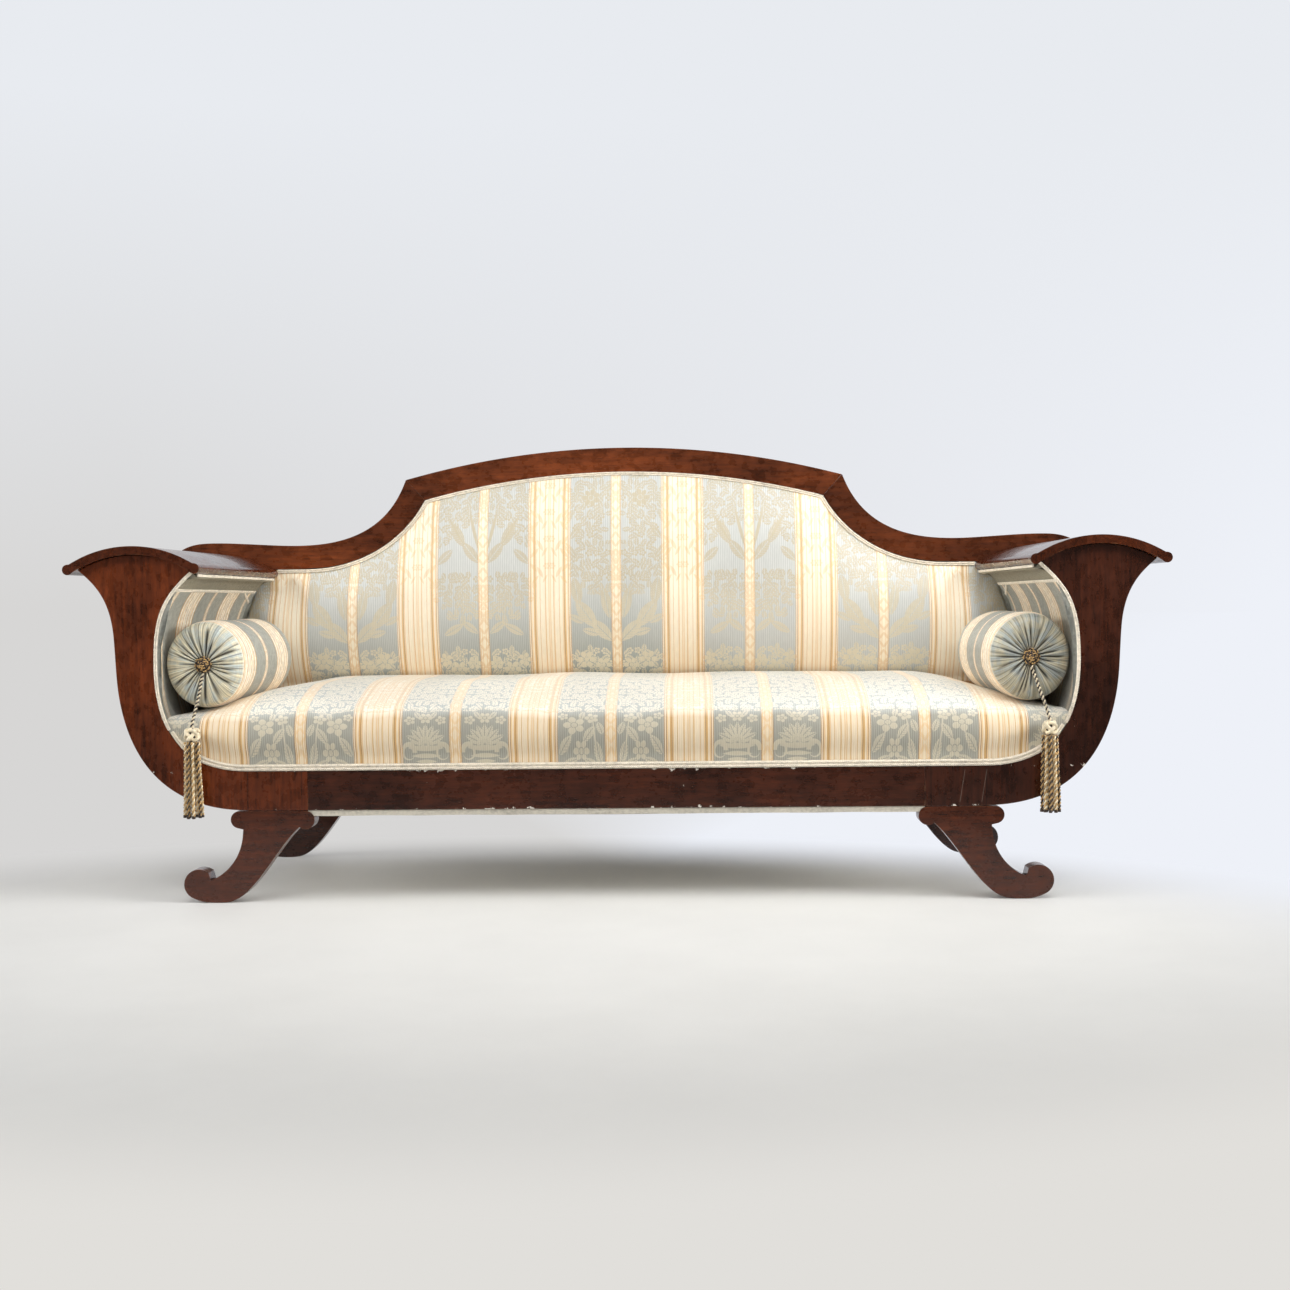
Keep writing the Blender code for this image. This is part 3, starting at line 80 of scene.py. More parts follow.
# Curves of the frame that the cloth follows
WAIST_INSET = 0.039  # arm board's middle in to the inner edge at the waist
WAIST_HEIGHT = 0.500
CURVE_REACH = 0.196  # waist in to where the curve becomes the straight rail
INNER_FLARE = 0.121  # arm board's middle in to the top of the inner edge
BOARD_BOW = 0.247
BOARD_THICKNESS = 0.018
ROLL_RADIUS = 0.0115
ROLL_DROP = 0.0485  # crown of the arm board to the middle of its rolled edges
CREST_BAND = 0.059
CREST_INNER_RADIUS = 1.919
CREST_INNER_HALF = 0.4915
SHOULDER_INSET = 0.215  # arm board's middle in to where the shoulder's sweep ends
SHOULDER_DROP = 0.038  # crown of the arm board to the shoulder's underside
POST_TOP_INSET = 0.137
INNER_FOOT_CURVE = ((0.663, 0), (0, 0.673))
INNER_TOP_CURVE = ((0, 0.552), (0.732, 0.266))
SHOULDER_INNER_CURVE = ((0.111, 0.394), (0.570, 0))

# Tassel cords from the rosette over the seat's edge, through the knot and into the tassel's heart: back
# from the frame's front, up from the floor, and out from the bolster's middle on the left and on the right
CORD_ROUTE = (
    (0.0375, 0.4812, 0.000, 0.000), (0.0335, 0.4740, 0.000, 0.001), (0.0255, 0.4640, 0.000, 0.003),
    (0.0160, 0.4480, 0.000, 0.007), (0.0055, 0.4290, 0.001, 0.011), (-0.0080, 0.4090, 0.002, 0.016),
    (-0.0190, 0.3930, 0.003, 0.019), (-0.0265, 0.3800, 0.004, 0.021), (-0.0285, 0.3725, 0.004, 0.022),
    (-0.0285, 0.3400, 0.004, 0.022), (-0.0285, 0.2950, 0.004, 0.022),
)


def linear(colour):
    """Linear RGBA from an sRGB hex colour."""
    channels = [int(colour[i : i + 2], 16) / 255 for i in (0, 2, 4)]
    straight = [c / 12.92 if c <= 0.04045 else ((c + 0.055) / 1.055) ** 2.4 for c in channels]
    return (*straight, 1.0)


def colour_property(name, description, colour):
    return FloatVectorProperty(
        name=name, description=description, default=linear(colour), subtype="COLOR", size=4, min=0, max=1
    )


def length_property(name, description, default):
    return FloatProperty(name=name, description=description, default=default, unit="LENGTH", min=0)


class SofaSizes(bpy.types.PropertyGroup):
    """Sizes of the sofa's finish that a user would change."""

    edge_round: length_property("Edge round", "Rounding of the polished boards' edges", 0.0012)
    damask_repeat: length_property("Damask repeat", "Stripe repeat of the seat and back cloth", 0.3247)
    damask_band: length_property("Damask band", "Narrow stripe's middle to the broad one's edge", 0.1105)
    silk_repeat: length_property("Silk repeat", "Stripe repeat of the arm and bolster cloth", 0.264)
    rib_spacing: length_property("Rib spacing", "Spacing of the ribs woven into the blue bands", 0.0045)
    seat_swell: length_property("Seat swell", "Most that the stuffing moves the seat cover", 0.007)
    back_swell: length_property("Back swell", "Most that the stuffing moves the back cover", 0.008)
    bolster_swell: length_property("Bolster swell", "Most that the stuffing moves a bolster's cover", 0.004)
    pleat_depth: length_property("Pleat depth", "Depth of the gathers in a bolster's ends", 0.0085)
    pleats: IntProperty(name="Pleats", description="Gathers in a bolster's end", default=24, min=8, max=40)
    braid_pitch: length_property("Braid pitch", "Length of one plait of the braid", 0.0042)
    cord_pitch: length_property("Cord pitch", "Length of one turn of the tassel cord's two plies", 0.0105)
    strands: IntProperty(name="Strands", description="Outer strands of a tassel", default=10, min=5, max=14)


class SofaColours(bpy.types.PropertyGroup):
    """Colours of the sofa's materials that a user would change."""

    crest: colour_property("Crest mahogany", "Redder polish of the back's crest", "612d11")
    arms: colour_property("Arm mahogany", "Polish of the arms and legs", "622a0d")
    rail: colour_property("Rail mahogany", "Darker polish of the front rail", "3d1a0b")
    cream: colour_property("Cream", "Cream stripes of both cloths", "f8ead0")
    peach: colour_property("Peach", "Soft edges of the cream stripes", "efd2a6")
    gold: colour_property("Gold", "Gold lines in the cream stripes", "e0b87c")
    brown: colour_property("Brown line", "Thin brown lines beside the stripes", "b08758")
    seat_ground: colour_property("Seat ground", "Ribbed bands of the seat, at its front", "a8a598")
    seat_leaf: colour_property("Seat leaf", "Leaves woven into the seat, at its front", "c8bfa8")
    # Painted sheen: lit tones that stand in for the light falling on the seat's top
    seat_ground_painted_sheen: colour_property("Seat ground in painted sheen", "Ribbed bands of the seat's top", "c8cac4")
    seat_leaf_painted_sheen: colour_property("Seat leaf in painted sheen", "Leaves woven into the seat's top", "f0e9d9")
    back_ground: colour_property("Back ground", "Ribbed bands of the back, at its foot", "a2a7a0")
    back_leaf: colour_property("Back leaf", "Leaves woven into the back, at its foot", "e6ddc4")
    # Painted sheen: lit tones that stand in for the light falling on the back's top
    back_ground_painted_sheen: colour_property("Back ground in painted sheen", "Ribbed bands at the back's top", "cfd0cb")
    back_leaf_painted_sheen: colour_property("Back leaf in painted sheen", "Leaves woven into the back, at its top", "c2b79d")
    silk: colour_property("Silk ground", "Plain bands of the arm and bolster silk", "a3a49b")
    gathered: colour_property("Gathered silk", "Blue-grey streaks in the bolsters' ends", "b0b6b0")
    khaki: colour_property("Khaki", "Khaki streaks in the bolsters' ends", "cbc2a6")
    braid: colour_property("Braid", "Gimp along the edges of the cloth", "ebe1cf")
    lining: colour_property("Lining", "Cloth at the back and underneath", "c4bdae")
    pale_silk: colour_property("Pale silk", "Pale plies of the tassels", "e2d3b4")
    gold_silk: colour_property("Gold silk", "Gold plies of the tassels", "bf9a62")
    dark_silk: colour_property("Dark silk", "Dark plies of the tassels", "33241a")
    floor: colour_property("Floor", "Pale floor", "ecebe7")
    ground_left: colour_property("Ground on the left", "Pale ground behind the sofa, left", "d7d6d5")
    ground_right: colour_property("Ground on the right", "Pale ground behind the sofa, right", "eef1f8")
    ground_high: colour_property("High ground", "Pale ground above the sofa", "e8ebf0")
    ground_near: colour_property("Near ground", "Pale ground in front of the sofa", "e1dfdb")


# Making and shaping


def select_only(*pieces):
    """Selects these pieces alone and makes the first one active."""
    bpy.ops.object.select_all(action="DESELECT")
    for piece in pieces:
        piece.select_set(True)
    bpy.context.view_layer.objects.active = pieces[0]


@contextmanager
def editing(piece):
    """Edit mode on one piece, with all of it selected."""
    select_only(piece)
    bpy.ops.object.mode_set(mode="EDIT")
    bpy.ops.mesh.select_all(action="SELECT")
    yield
    bpy.ops.object.mode_set(mode="OBJECT")


def start(kind, name, **sizes):
    """Adds a mesh primitive, alone in the selection."""
    bpy.ops.object.select_all(action="DESELECT")
    getattr(bpy.ops.mesh, f"primitive_{kind}_add")(**sizes)
    piece = bpy.context.object
    piece.name = name
    return piece


MERGE_DISTANCE = 0.00005
FLAT_ANGLE = 0.5


def copy_of(node, name):
    """A new piece with a CAD node's shape, its doubled points merged and its flat faces whole again."""
    piece = bpy.data.objects.new(name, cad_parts[node].data.copy())
    piece.data.materials.clear()
    bpy.context.scene.collection.objects.link(piece)
    with editing(piece):
        bpy.ops.mesh.remove_doubles(threshold=MERGE_DISTANCE)
        bpy.ops.mesh.customdata_custom_splitnormals_clear()
        bpy.ops.mesh.dissolve_limited(angle_limit=math.radians(FLAT_ANGLE))
    return piece


def finish_with(piece, kind, **settings):
    """Adds one modifier and applies it."""
    select_only(piece)
    modifier = piece.modifiers.new(kind.lower(), kind)
    for name, value in settings.items():
        setattr(modifier, name, value)
    bpy.ops.object.modifier_apply(modifier=modifier.name)


def settle(piece, place=(0, 0, 0), turn=(0, 0, 0), scale=(1, 1, 1)):
    """Puts a piece in its place and applies that, so that its object stays at the origin."""
    piece.location = place
    piece.rotation_euler = turn
    piece.scale = scale
    select_only(piece)
    bpy.ops.object.transform_apply(location=True, rotation=True, scale=True)


PARALLEL = 0.999  # share of an edge's length that runs along the axis to be cut


def cut_along(piece, axis, passes):
    """Cuts all edges that run along an axis, once for each number of cuts in passes."""
    for cuts in passes:
        with editing(piece):
            bpy.ops.mesh.select_mode(type="EDGE")
            bpy.ops.mesh.select_all(action="DESELECT")
            mesh = bmesh.from_edit_mesh(piece.data)
            for edge in mesh.edges:
                run = edge.verts[1].co - edge.verts[0].co
                edge.select_set(abs(run[axis]) > PARALLEL * run.length)
            bmesh.update_edit_mesh(piece.data)
            bpy.ops.mesh.subdivide(number_cuts=cuts)


def joined(pieces, name):
    """Several pieces made one."""
    select_only(*pieces)
    bpy.ops.object.join()
    pieces[0].name = name
    return pieces[0]


def duplicate(piece):
    """A copy of a piece with a mesh of its own."""
    copy = piece.copy()
    copy.data = piece.data.copy()
    bpy.context.scene.collection.objects.link(copy)
    return copy


def points_of(piece):
    """The places of a mesh's points, one row for each."""
    points = np.empty(3 * len(piece.data.vertices))
    piece.data.vertices.foreach_get("co", points)
    return points.reshape(-1, 3)


def move_points(piece, points):
    """Moves a mesh's points to new places, one row for each."""
    piece.data.vertices.foreach_set("co", np.asarray(points, dtype=float).ravel())
    piece.data.update()


def smooth(piece, angle=180):
    """Shades a piece smooth where its faces meet at less than an angle in degrees."""
    select_only(piece)
    bpy.ops.object.shade_smooth_by_angle(angle=math.radians(angle))


def hand_over(piece, body, slot, materials, *nodes):
    """Gives a finished piece its material and body, and hides the nodes it stands for. Its slot is not
    used.
    """
    for material in materials:
        piece.data.materials.append(material)
    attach(piece, body)
    if nodes:
        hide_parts(*nodes)
    return piece


def dress_node(node, material):
    """Gives a CAD node that shows as it is a material of its own."""
    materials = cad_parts[node].data.materials
    materials.clear()
    materials.append(material)


SIM_FRAMES = 16
CLOTH_QUALITY = 4
CLOTH_MASS = 0.2
CLOTH_BENDING = 0.8


def plump(piece, held, pressure, cap):
    """Swells a cushion by a short cloth simulation. Each point stays within cap of where it was sewn."""
    sewn = points_of(piece)
    group = piece.vertex_groups.new(name="held")
    group.add([int(i) for i in np.flatnonzero(held)], 1.0, "REPLACE")
    cloth = piece.modifiers.new("cloth", "CLOTH")
    cloth.settings.quality = CLOTH_QUALITY
    cloth.settings.mass = CLOTH_MASS
    cloth.settings.bending_stiffness = CLOTH_BENDING
    cloth.settings.vertex_group_mass = "held"
    cloth.settings.use_pressure = True
    cloth.settings.uniform_pressure_force = pressure
    cloth.settings.effector_weights.gravity = 0
    cloth.point_cache.frame_start = 1
    cloth.point_cache.frame_end = SIM_FRAMES
    for step in range(1, SIM_FRAMES + 1):
        bpy.context.scene.frame_set(step)
    bpy.context.view_layer.objects.active = piece
    bpy.ops.object.modifier_apply(modifier="cloth")
    bpy.context.scene.frame_set(1)
    moved = points_of(piece) - sewn
    far = np.linalg.norm(moved, axis=1)
    share = cap * np.tanh(far / cap) / np.maximum(far, 1e-9)
    move_points(piece, sewn + moved * share[:, None])


def wander(points, size, seed):
    """Smooth noise from -1 to 1 at each point, with lumps of about that size."""
    offset = Vector((seed, 2 * seed, 3 * seed))
    return np.array([noise.noise(Vector(p) / size + offset) for p in points])


def smoothstep(t):
    """A soft ramp from 0 to 1."""
    t = np.clip(t, 0, 1)
    return t * t * (3 - 2 * t)


# Curves of the frame


def swept(start_point, end_point, handles, steps):
    """Points on a cubic curve. handles are shares of its span, on from the start and back from the end."""
    first = np.array(start_point)
    last = np.array(end_point)
    forward, backward = [np.array(share) * (last - first) for share in handles]
    t = np.linspace(0, 1, steps + 1)[:, None]
    s = 1 - t
    ends = s**3 * first + t**3 * last
    return ends + 3 * s * s * t * (first + forward) + 3 * s * t * t * (last - backward)


def board_arc(x, thickness):
    """Height of the bowed arm board's surface, at a thickness below its top."""
    return BOARD_HIGH.z - BOARD_BOW + np.sqrt((BOARD_BOW - thickness) ** 2 - (x - ARM_MIDDLE) ** 2)


WAIST = (ARM_MIDDLE - WAIST_INSET, WAIST_HEIGHT)
FLARE_TOP = (ARM_MIDDLE - INNER_FLARE, board_arc(ARM_MIDDLE - INNER_FLARE, BOARD_THICKNESS))
INNER_FOOT = swept((WAIST[0] - CURVE_REACH, RAIL_TOP), WAIST, INNER_FOOT_CURVE, 48)
INNER_TOP = swept(WAIST, FLARE_TOP, INNER_TOP_CURVE, 40)
INNER_EDGE = np.concatenate([INNER_FOOT, INNER_TOP[1:]])
SHOULDER_UNDERSIDE = BOARD_HIGH.z - SHOULDER_DROP
SHOULDER_FLAT = (ARM_MIDDLE - SHOULDER_INSET, SHOULDER_UNDERSIDE)
ROLL_HEIGHT = BOARD_HIGH.z - ROLL_DROP
ROLL_X = BOARD_LOW.x + ROLL_RADIUS


def crest_arch(x):
    """Height of the crest's inner edge over the arched middle of the back."""
    return CREST_HIGH.z - CREST_BAND - CREST_INNER_RADIUS + np.sqrt(CREST_INNER_RADIUS**2 - x**2)


def crest_line():
    """The back frame's inner edge over the right half, from the middle of the arch to the arm board."""
    xs = np.linspace(0, CREST_INNER_HALF, 121)
    arch = np.stack([xs, crest_arch(xs)], axis=1)
    shoulder = swept(arch[-1], SHOULDER_FLAT, SHOULDER_INNER_CURVE, 80)
    flat = np.linspace(SHOULDER_FLAT, (BOARD_LOW.x, SHOULDER_UNDERSIDE), 20)
    return np.concatenate([arch, shoulder[1:], flat[1:]])


CREST_LINE = crest_line()


def inner_x(height):
    """Place across of the arm frame's inner edge at a height, on the right."""
    return np.interp(height, INNER_EDGE[:, 1], INNER_EDGE[:, 0])


def inner_z(x):
    """Height of the arm frame's inner edge over the foot of its curve, on the right."""
    return np.interp(x, INNER_FOOT[:, 0], INNER_FOOT[:, 1])


def distance_to(line, x, z):
    """Distance from each point to a finely divided line."""
    points = np.stack([x, z], axis=1)
    least = np.full(len(points), np.inf)
    for place in line:
        least = np.minimum(least, np.hypot(points[:, 0] - place[0], points[:, 1] - place[1]))
    return least


# Node materials


def add_node(tree, kind, *values, sockets=None, **settings):
    """Adds a shader node. A point and its operation may follow its kind. values fill its inputs in order,
    and sockets fills them by name. Each is a constant, an output, or a node, which gives its first output.
    None leaves an input as it is."""
    kind, _, operation = kind.partition(".")
    made = tree.nodes.new("ShaderNode" + kind)
    if operation:
        made.operation = operation
    for name, value in settings.items():
        setattr(made, name, value)
    for key, value in [*enumerate(values), *(sockets or {}).items()]:
        if value is None:
            continue
        if isinstance(value, bpy.types.Node):
            value = value.outputs[0]
        if isinstance(value, bpy.types.NodeSocket):
            tree.links.new(value, made.inputs[key])
        else:
            made.inputs[key].default_value = value
    return made


def new_material(name):
    """A material, the function that adds nodes to its emptied tree, and its Object coordinates."""
    material = bpy.data.materials.new(name)
    material.use_nodes = True
    material.node_tree.nodes.clear()
    add = partial(add_node, material.node_tree)
    return material, add, add("TexCoord").outputs["Object"]


def grained(add, place, sizes, axis):
    """A point scaled so that noise of scale 1 has lumps of given sizes, in millimetres across an axis and
    along it."""
    scale = [1000 / sizes[0]] * 3
    scale[axis] = 1000 / sizes[1]
    return add("VectorMath.MULTIPLY", place, scale)


def fill_ramp(ramp, stops, interpolation="LINEAR"):
    """Sets a colour ramp's stops from (position, linear colour) pairs in rising order."""
    elements = ramp.color_ramp.elements
    ramp.color_ramp.interpolation = interpolation
    while len(elements) < len(stops):
        elements.new(1.0)
    for element, (position, colour) in zip(elements, stops):
        element.position = position
        element.color = colour


def tint(colour, share):
    """A colour made darker, below 1, or paler, above 1."""
    return (*[min(c * share, 1.0) for c in colour[:3]], 1.0)


# The veneer's figure in millimetres, across the grain and along it
STREAK = (6.6667, 90.909)
MOTTLE = (16.129, 22.727)
PORE = (1.4286, 16.667)
# Lumps of the same size all ways, in millimetres
CLOUD = 181.8
RUB = 15.385
CHIP = 13.333
CHIPPED_PATCH = 250
# The rest of the veneer, in metres
SEAM_HALF = 0.0007
RUBBED_EDGE = 0.0035
CHIP_REACH = (0.009, 0.001)  # distance from the rail's edges over which chips become more likely
SCRATCHES = (0.684, 0.729)  # places along the rail of the scratches over the right leg
SCRATCH_HALF = 0.0005
SCRATCH_SLANT = -0.16
SCRATCH_REACH = 0.034  # most that a scratch leaves the rail's middle height


def knocks(add, shaded, place, x, z):
    """Pale chips along the upper and lower edges of the front rail's height, and a few scratches."""
    middle = (RAIL_LOW.z + RAIL_HIGH.z) / 2
    half = (RAIL_HIGH.z - RAIL_LOW.z) / 2
    above = add("Math.ADD", z, -middle)
    above = add("Math.ABSOLUTE", above)
    beyond = add("Math.ADD", above, -half)
    beyond = add("Math.ABSOLUTE", beyond)
    near_edge = add("MapRange", beyond, *CHIP_REACH)
    chips = add("TexNoise", place, None, 1000 / CHIP, 4.0, 0.65)
    patches = add("TexNoise", place, None, 1000 / CHIPPED_PATCH, 1.0, 0.5)
    chips = add("Math.MULTIPLY_ADD", patches, 0.35, chips)
    chips = add("Math.MULTIPLY_ADD", near_edge, 0.16, chips)
    chipped = add("MapRange", chips, 0.955, 0.970)
    shaded = add("MixRGB", chipped, shaded, linear("d9d2c6"))
    slant = add("Math.MULTIPLY_ADD", z, SCRATCH_SLANT, x)
    within = add("Math.LESS_THAN", above, SCRATCH_REACH)
    faint = add("Math.MULTIPLY", within, 0.22)
    for scratch in SCRATCHES:
        line = add("Math.COMPARE", slant, scratch, SCRATCH_HALF)
        line = add("Math.MULTIPLY", line, faint)
        shaded = add("MixRGB", line, shaded, linear("b9aca0"))
    return shaded


def polished_mahogany(name, colour, grain_axis, seams=(), knocked=False):
    """French-polished mahogany veneer. The eye sees a wet-looking skin over a mottled red-brown figure,
    fine streaks along the grain, dark pores, and edges rubbed paler by use. seams are distances from the
    middle at which two leaves of veneer meet. A knocked one has pale chips and a few scratches."""
    material, add, place = new_material(name)
    streaks = add("TexNoise", grained(add, place, STREAK, grain_axis), None, 1.0, 5.0, 0.6)
    mottle = add("TexNoise", grained(add, place, MOTTLE, grain_axis), None, 1.0, 3.0, 0.5)
    clouds = add("TexNoise", place, None, 1000 / CLOUD, 2.0, 0.5)
    pores = add("TexNoise", grained(add, place, PORE, grain_axis), None, 1.0, 1.0, 0.5)
    figure = add("Math.MULTIPLY_ADD", streaks, 0.46, -0.06)
    figure = add("Math.MULTIPLY_ADD", mottle, 0.30, figure)
    figure = add("Math.MULTIPLY_ADD", clouds, 0.46, figure)
    ramp = add("ValToRGB", figure)
    fill_ramp(ramp, ((0.40, tint(colour, 0.34)), (0.56, tint(colour, 0.95)), (0.72, tint(colour, 1.7))))
    pore_mask = add("MapRange", pores, 0.58, 0.72, 0.0, 0.6)
    shaded = add("MixRGB", pore_mask, ramp, tint(colour, 0.16))
    x, _, z = add("SeparateXYZ", place).outputs
    side = add("Math.ABSOLUTE", x)
    for seam in seams:
        line = add("Math.COMPARE", side, seam, SEAM_HALF)
        shaded = add("MixRGB", line, shaded, tint(colour, 0.25))
    rounded = add("Bevel", RUBBED_EDGE, samples=4)
    straight = add("NewGeometry").outputs["Normal"]
    facing = add("VectorMath.DOT_PRODUCT", rounded, straight).outputs["Value"]
    edge = add("MapRange", facing, 0.995, 0.86)
    rub = add("TexNoise", place, None, 1000 / RUB, 3.0, 0.6)
    rubbed = add("MapRange", rub, 0.48, 0.66)
    worn = add("Math.MULTIPLY", edge, rubbed)
    worn = add("Math.MULTIPLY", worn, 0.4)
    shaded = add("MixRGB", worn, shaded, linear("9a6a45"))
    if knocked:
        shaded = knocks(add, shaded, place, x, z)
    gloss = add("MapRange", mottle, 0.3, 0.7, 0.22, 0.36)
    gloss = add("Math.MULTIPLY_ADD", worn, 0.3, gloss)
    height = add("Math.MULTIPLY_ADD", streaks, 0.6, pores)
    bump = add("Bump", 0.10, 0.0006, sockets={"Height": height})
    polish = {"Specular IOR Level": 0.3, "Coat Weight": 0.45, "Coat Roughness": 0.09}
    sockets = {"Roughness": gloss, "Normal": bump, **polish}
    add("OutputMaterial", add("BsdfPrincipled", shaded, sockets=sockets))
    return material


# Shapes woven into the damask. Each group tells how far a point lies outside a shape, in millimetres.


VEIN_SPACING = 5.4
VEIN_SLANT = -0.9
TOOTH = 0.45  # share of the veins' wave that shows as teeth along the edge
VEIN_HALF = 0.45
RIB_HALF = 0.8
PETAL_NOTCH = 0.42  # share of a flower's radius that its petals stand out
EYE_SHARE = 0.3
EYE_HALF = 0.8
PETAL_SLIT = 0.16


def shape_group(name, sizes):
    """A node group with a point, the shape's place and its sizes as inputs, and its outside distance."""
    group = bpy.data.node_groups.new(name, "ShaderNodeTree")
    for socket in ("Point", "Place"):
        group.interface.new_socket(socket, in_out="INPUT", socket_type="NodeSocketVector")
    for socket in sizes:
        group.interface.new_socket(socket, in_out="INPUT", socket_type="NodeSocketFloat")
    group.interface.new_socket("Outside", in_out="OUTPUT", socket_type="NodeSocketFloat")
    given = group.nodes.new("NodeGroupInput").outputs
    result = group.nodes.new("NodeGroupOutput")
    add = partial(add_node, group)
    offset = add("VectorMath.SUBTRACT", given["Point"], given["Place"])
    return group, add, given, offset, result


def leaf_group(name, veined):
    """A pointed leaf between two arcs. A veined one has a toothed edge and bare veins."""
    group, add, given, offset, result = shape_group(name, ("Turn", "Bow", "Set"))
    turned = add("VectorRotate", offset, sockets={"Angle": given["Turn"]}, rotation_type="Z_AXIS")
    x, y, _ = add("SeparateXYZ", turned).outputs
    side = add("Math.ABSOLUTE", x)
    shifted = add("Math.ADD", side, given["Set"])
    spot = add("CombineXYZ", shifted, y, 0.0)
    reach = add("VectorMath.LENGTH", spot).outputs["Value"]
    outside = add("Math.SUBTRACT", reach, given["Bow"])
    if veined:
        slant = add("Math.MULTIPLY_ADD", side, VEIN_SLANT, y)
        wave = add("Math.PINGPONG", slant, VEIN_SPACING / 2)
        outside = add("Math.MULTIPLY_ADD", wave, -TOOTH, outside)
        outside = add("Math.ADD", outside, 0.5)
        vein = add("Math.SUBTRACT", VEIN_HALF, wave)
        outside = add("Math.MAXIMUM", outside, vein)
        rib = add("Math.SUBTRACT", RIB_HALF, side)
        outside = add("Math.MAXIMUM", outside, rib)
    group.links.new(outside.outputs[0], result.inputs[0])


def flower_group():
    """A round flower with scalloped petals and a ring left bare round its eye."""
    group, add, given, offset, result = shape_group("woven_flower", ("Radius", "Petals"))
    x, y, _ = add("SeparateXYZ", offset).outputs
    angle = add("Math.ARCTAN2", y, x)
    half = add("Math.MULTIPLY", given["Petals"], 0.5)
    turn = add("Math.MULTIPLY", angle, half)
    wave = add("Math.COSINE", turn)
    scallop = add("Math.ABSOLUTE", wave)
    share = add("Math.MULTIPLY_ADD", scallop, PETAL_NOTCH, 1 - PETAL_NOTCH)
    edge = add("Math.MULTIPLY", share, given["Radius"])
    reach = add("VectorMath.LENGTH", offset).outputs["Value"]
    outside = add("Math.SUBTRACT", reach, edge)
    eye = add("Math.MULTIPLY_ADD", given["Radius"], -EYE_SHARE, reach)
    eye = add("Math.ABSOLUTE", eye)
    ring = add("Math.SUBTRACT", EYE_HALF, eye)
    outside = add("Math.MAXIMUM", outside, ring)
    slit = add("Math.SUBTRACT", PETAL_SLIT, scallop)
    slit = add("Math.MULTIPLY", slit, reach)
    outside = add("Math.MAXIMUM", outside, slit)
    group.links.new(outside.outputs[0], result.inputs[0])


def curl_group():
    """A curl that thickens along its turn."""
    group, add, given, offset, result = shape_group("woven_curl", ("Radius", "Width"))
    x, y, _ = add("SeparateXYZ", offset).outputs
    angle = add("Math.ARCTAN2", y, x)
    share = add("MapRange", angle, -math.pi, math.pi)
    width = add("Math.MULTIPLY", share, given["Width"])
    reach = add("VectorMath.LENGTH", offset).outputs["Value"]
    ring = add("Math.SUBTRACT", reach, given["Radius"])
    ring = add("Math.ABSOLUTE", ring)
    outside = add("Math.SUBTRACT", ring, width)
    group.links.new(outside.outputs[0], result.inputs[0])


def bush_group():
    """A round clump that foliage fills."""
    group, add, given, offset, result = shape_group("woven_bush", ("Wide", "High"))
    reach = add("CombineXYZ", given["Wide"], given["High"], 1.0)
    scaled = add("VectorMath.DIVIDE", offset, reach)
    far = add("VectorMath.LENGTH", scaled).outputs["Value"]
    outside = add("Math.ADD", far, -1.0)
    outside = add("Math.MULTIPLY", outside, given["Wide"])
    group.links.new(outside.outputs[0], result.inputs[0])


def damask_shapes():
    """The woven shapes' node groups by kind, made once."""
    if "woven_leaf" not in bpy.data.node_groups:
        leaf_group("woven_leaf", True)
        leaf_group("woven_stem", False)
        flower_group()
        curl_group()
        bush_group()
    kinds = ("leaf", "stem", "flower", "curl", "bush")
    return {kind: bpy.data.node_groups[f"woven_{kind}"] for kind in kinds}


def shape_sizes(kind, numbers):
    """Sockets for a shape from its listed sizes, in millimetres and degrees."""
    if kind in ("leaf", "stem"):
        turn, length, width = numbers
        bow = (length**2 + width**2) / (4 * width)
        return {"Turn": math.radians(turn), "Bow": bow, "Set": bow - width / 2}
    names = {"flower": ("Radius", "Petals"), "curl": ("Radius", "Width"), "bush": ("Wide", "High")}
    return dict(zip(names[kind], map(float, numbers)))


def drawn(add, groups, point, shapes):
    """Distance outside the nearest of several shapes. Each is a kind, a place across and up, and sizes."""
    nearest = None
    for kind, across, up, *numbers in shapes:
        sockets = {"Point": point, "Place": (across, up, 0.0), **shape_sizes(kind, numbers)}
        shape = add("Group", node_tree=groups[kind], sockets=sockets)
        nearest = shape if nearest is None else add("Math.MINIMUM", nearest, shape)
    return nearest


def fan(across, up, count, spread, length, width):
    """Leaves that spread from one point, as in a palmette."""
    leaves = []
    for turn in np.linspace(-spread, spread, count):
        lean = math.radians(turn)
        middle = (across + length / 2 * math.sin(lean), up + length / 2 * math.cos(lean))
        leaves.append(("leaf", *middle, float(turn), length, width))
    return tuple(leaves)


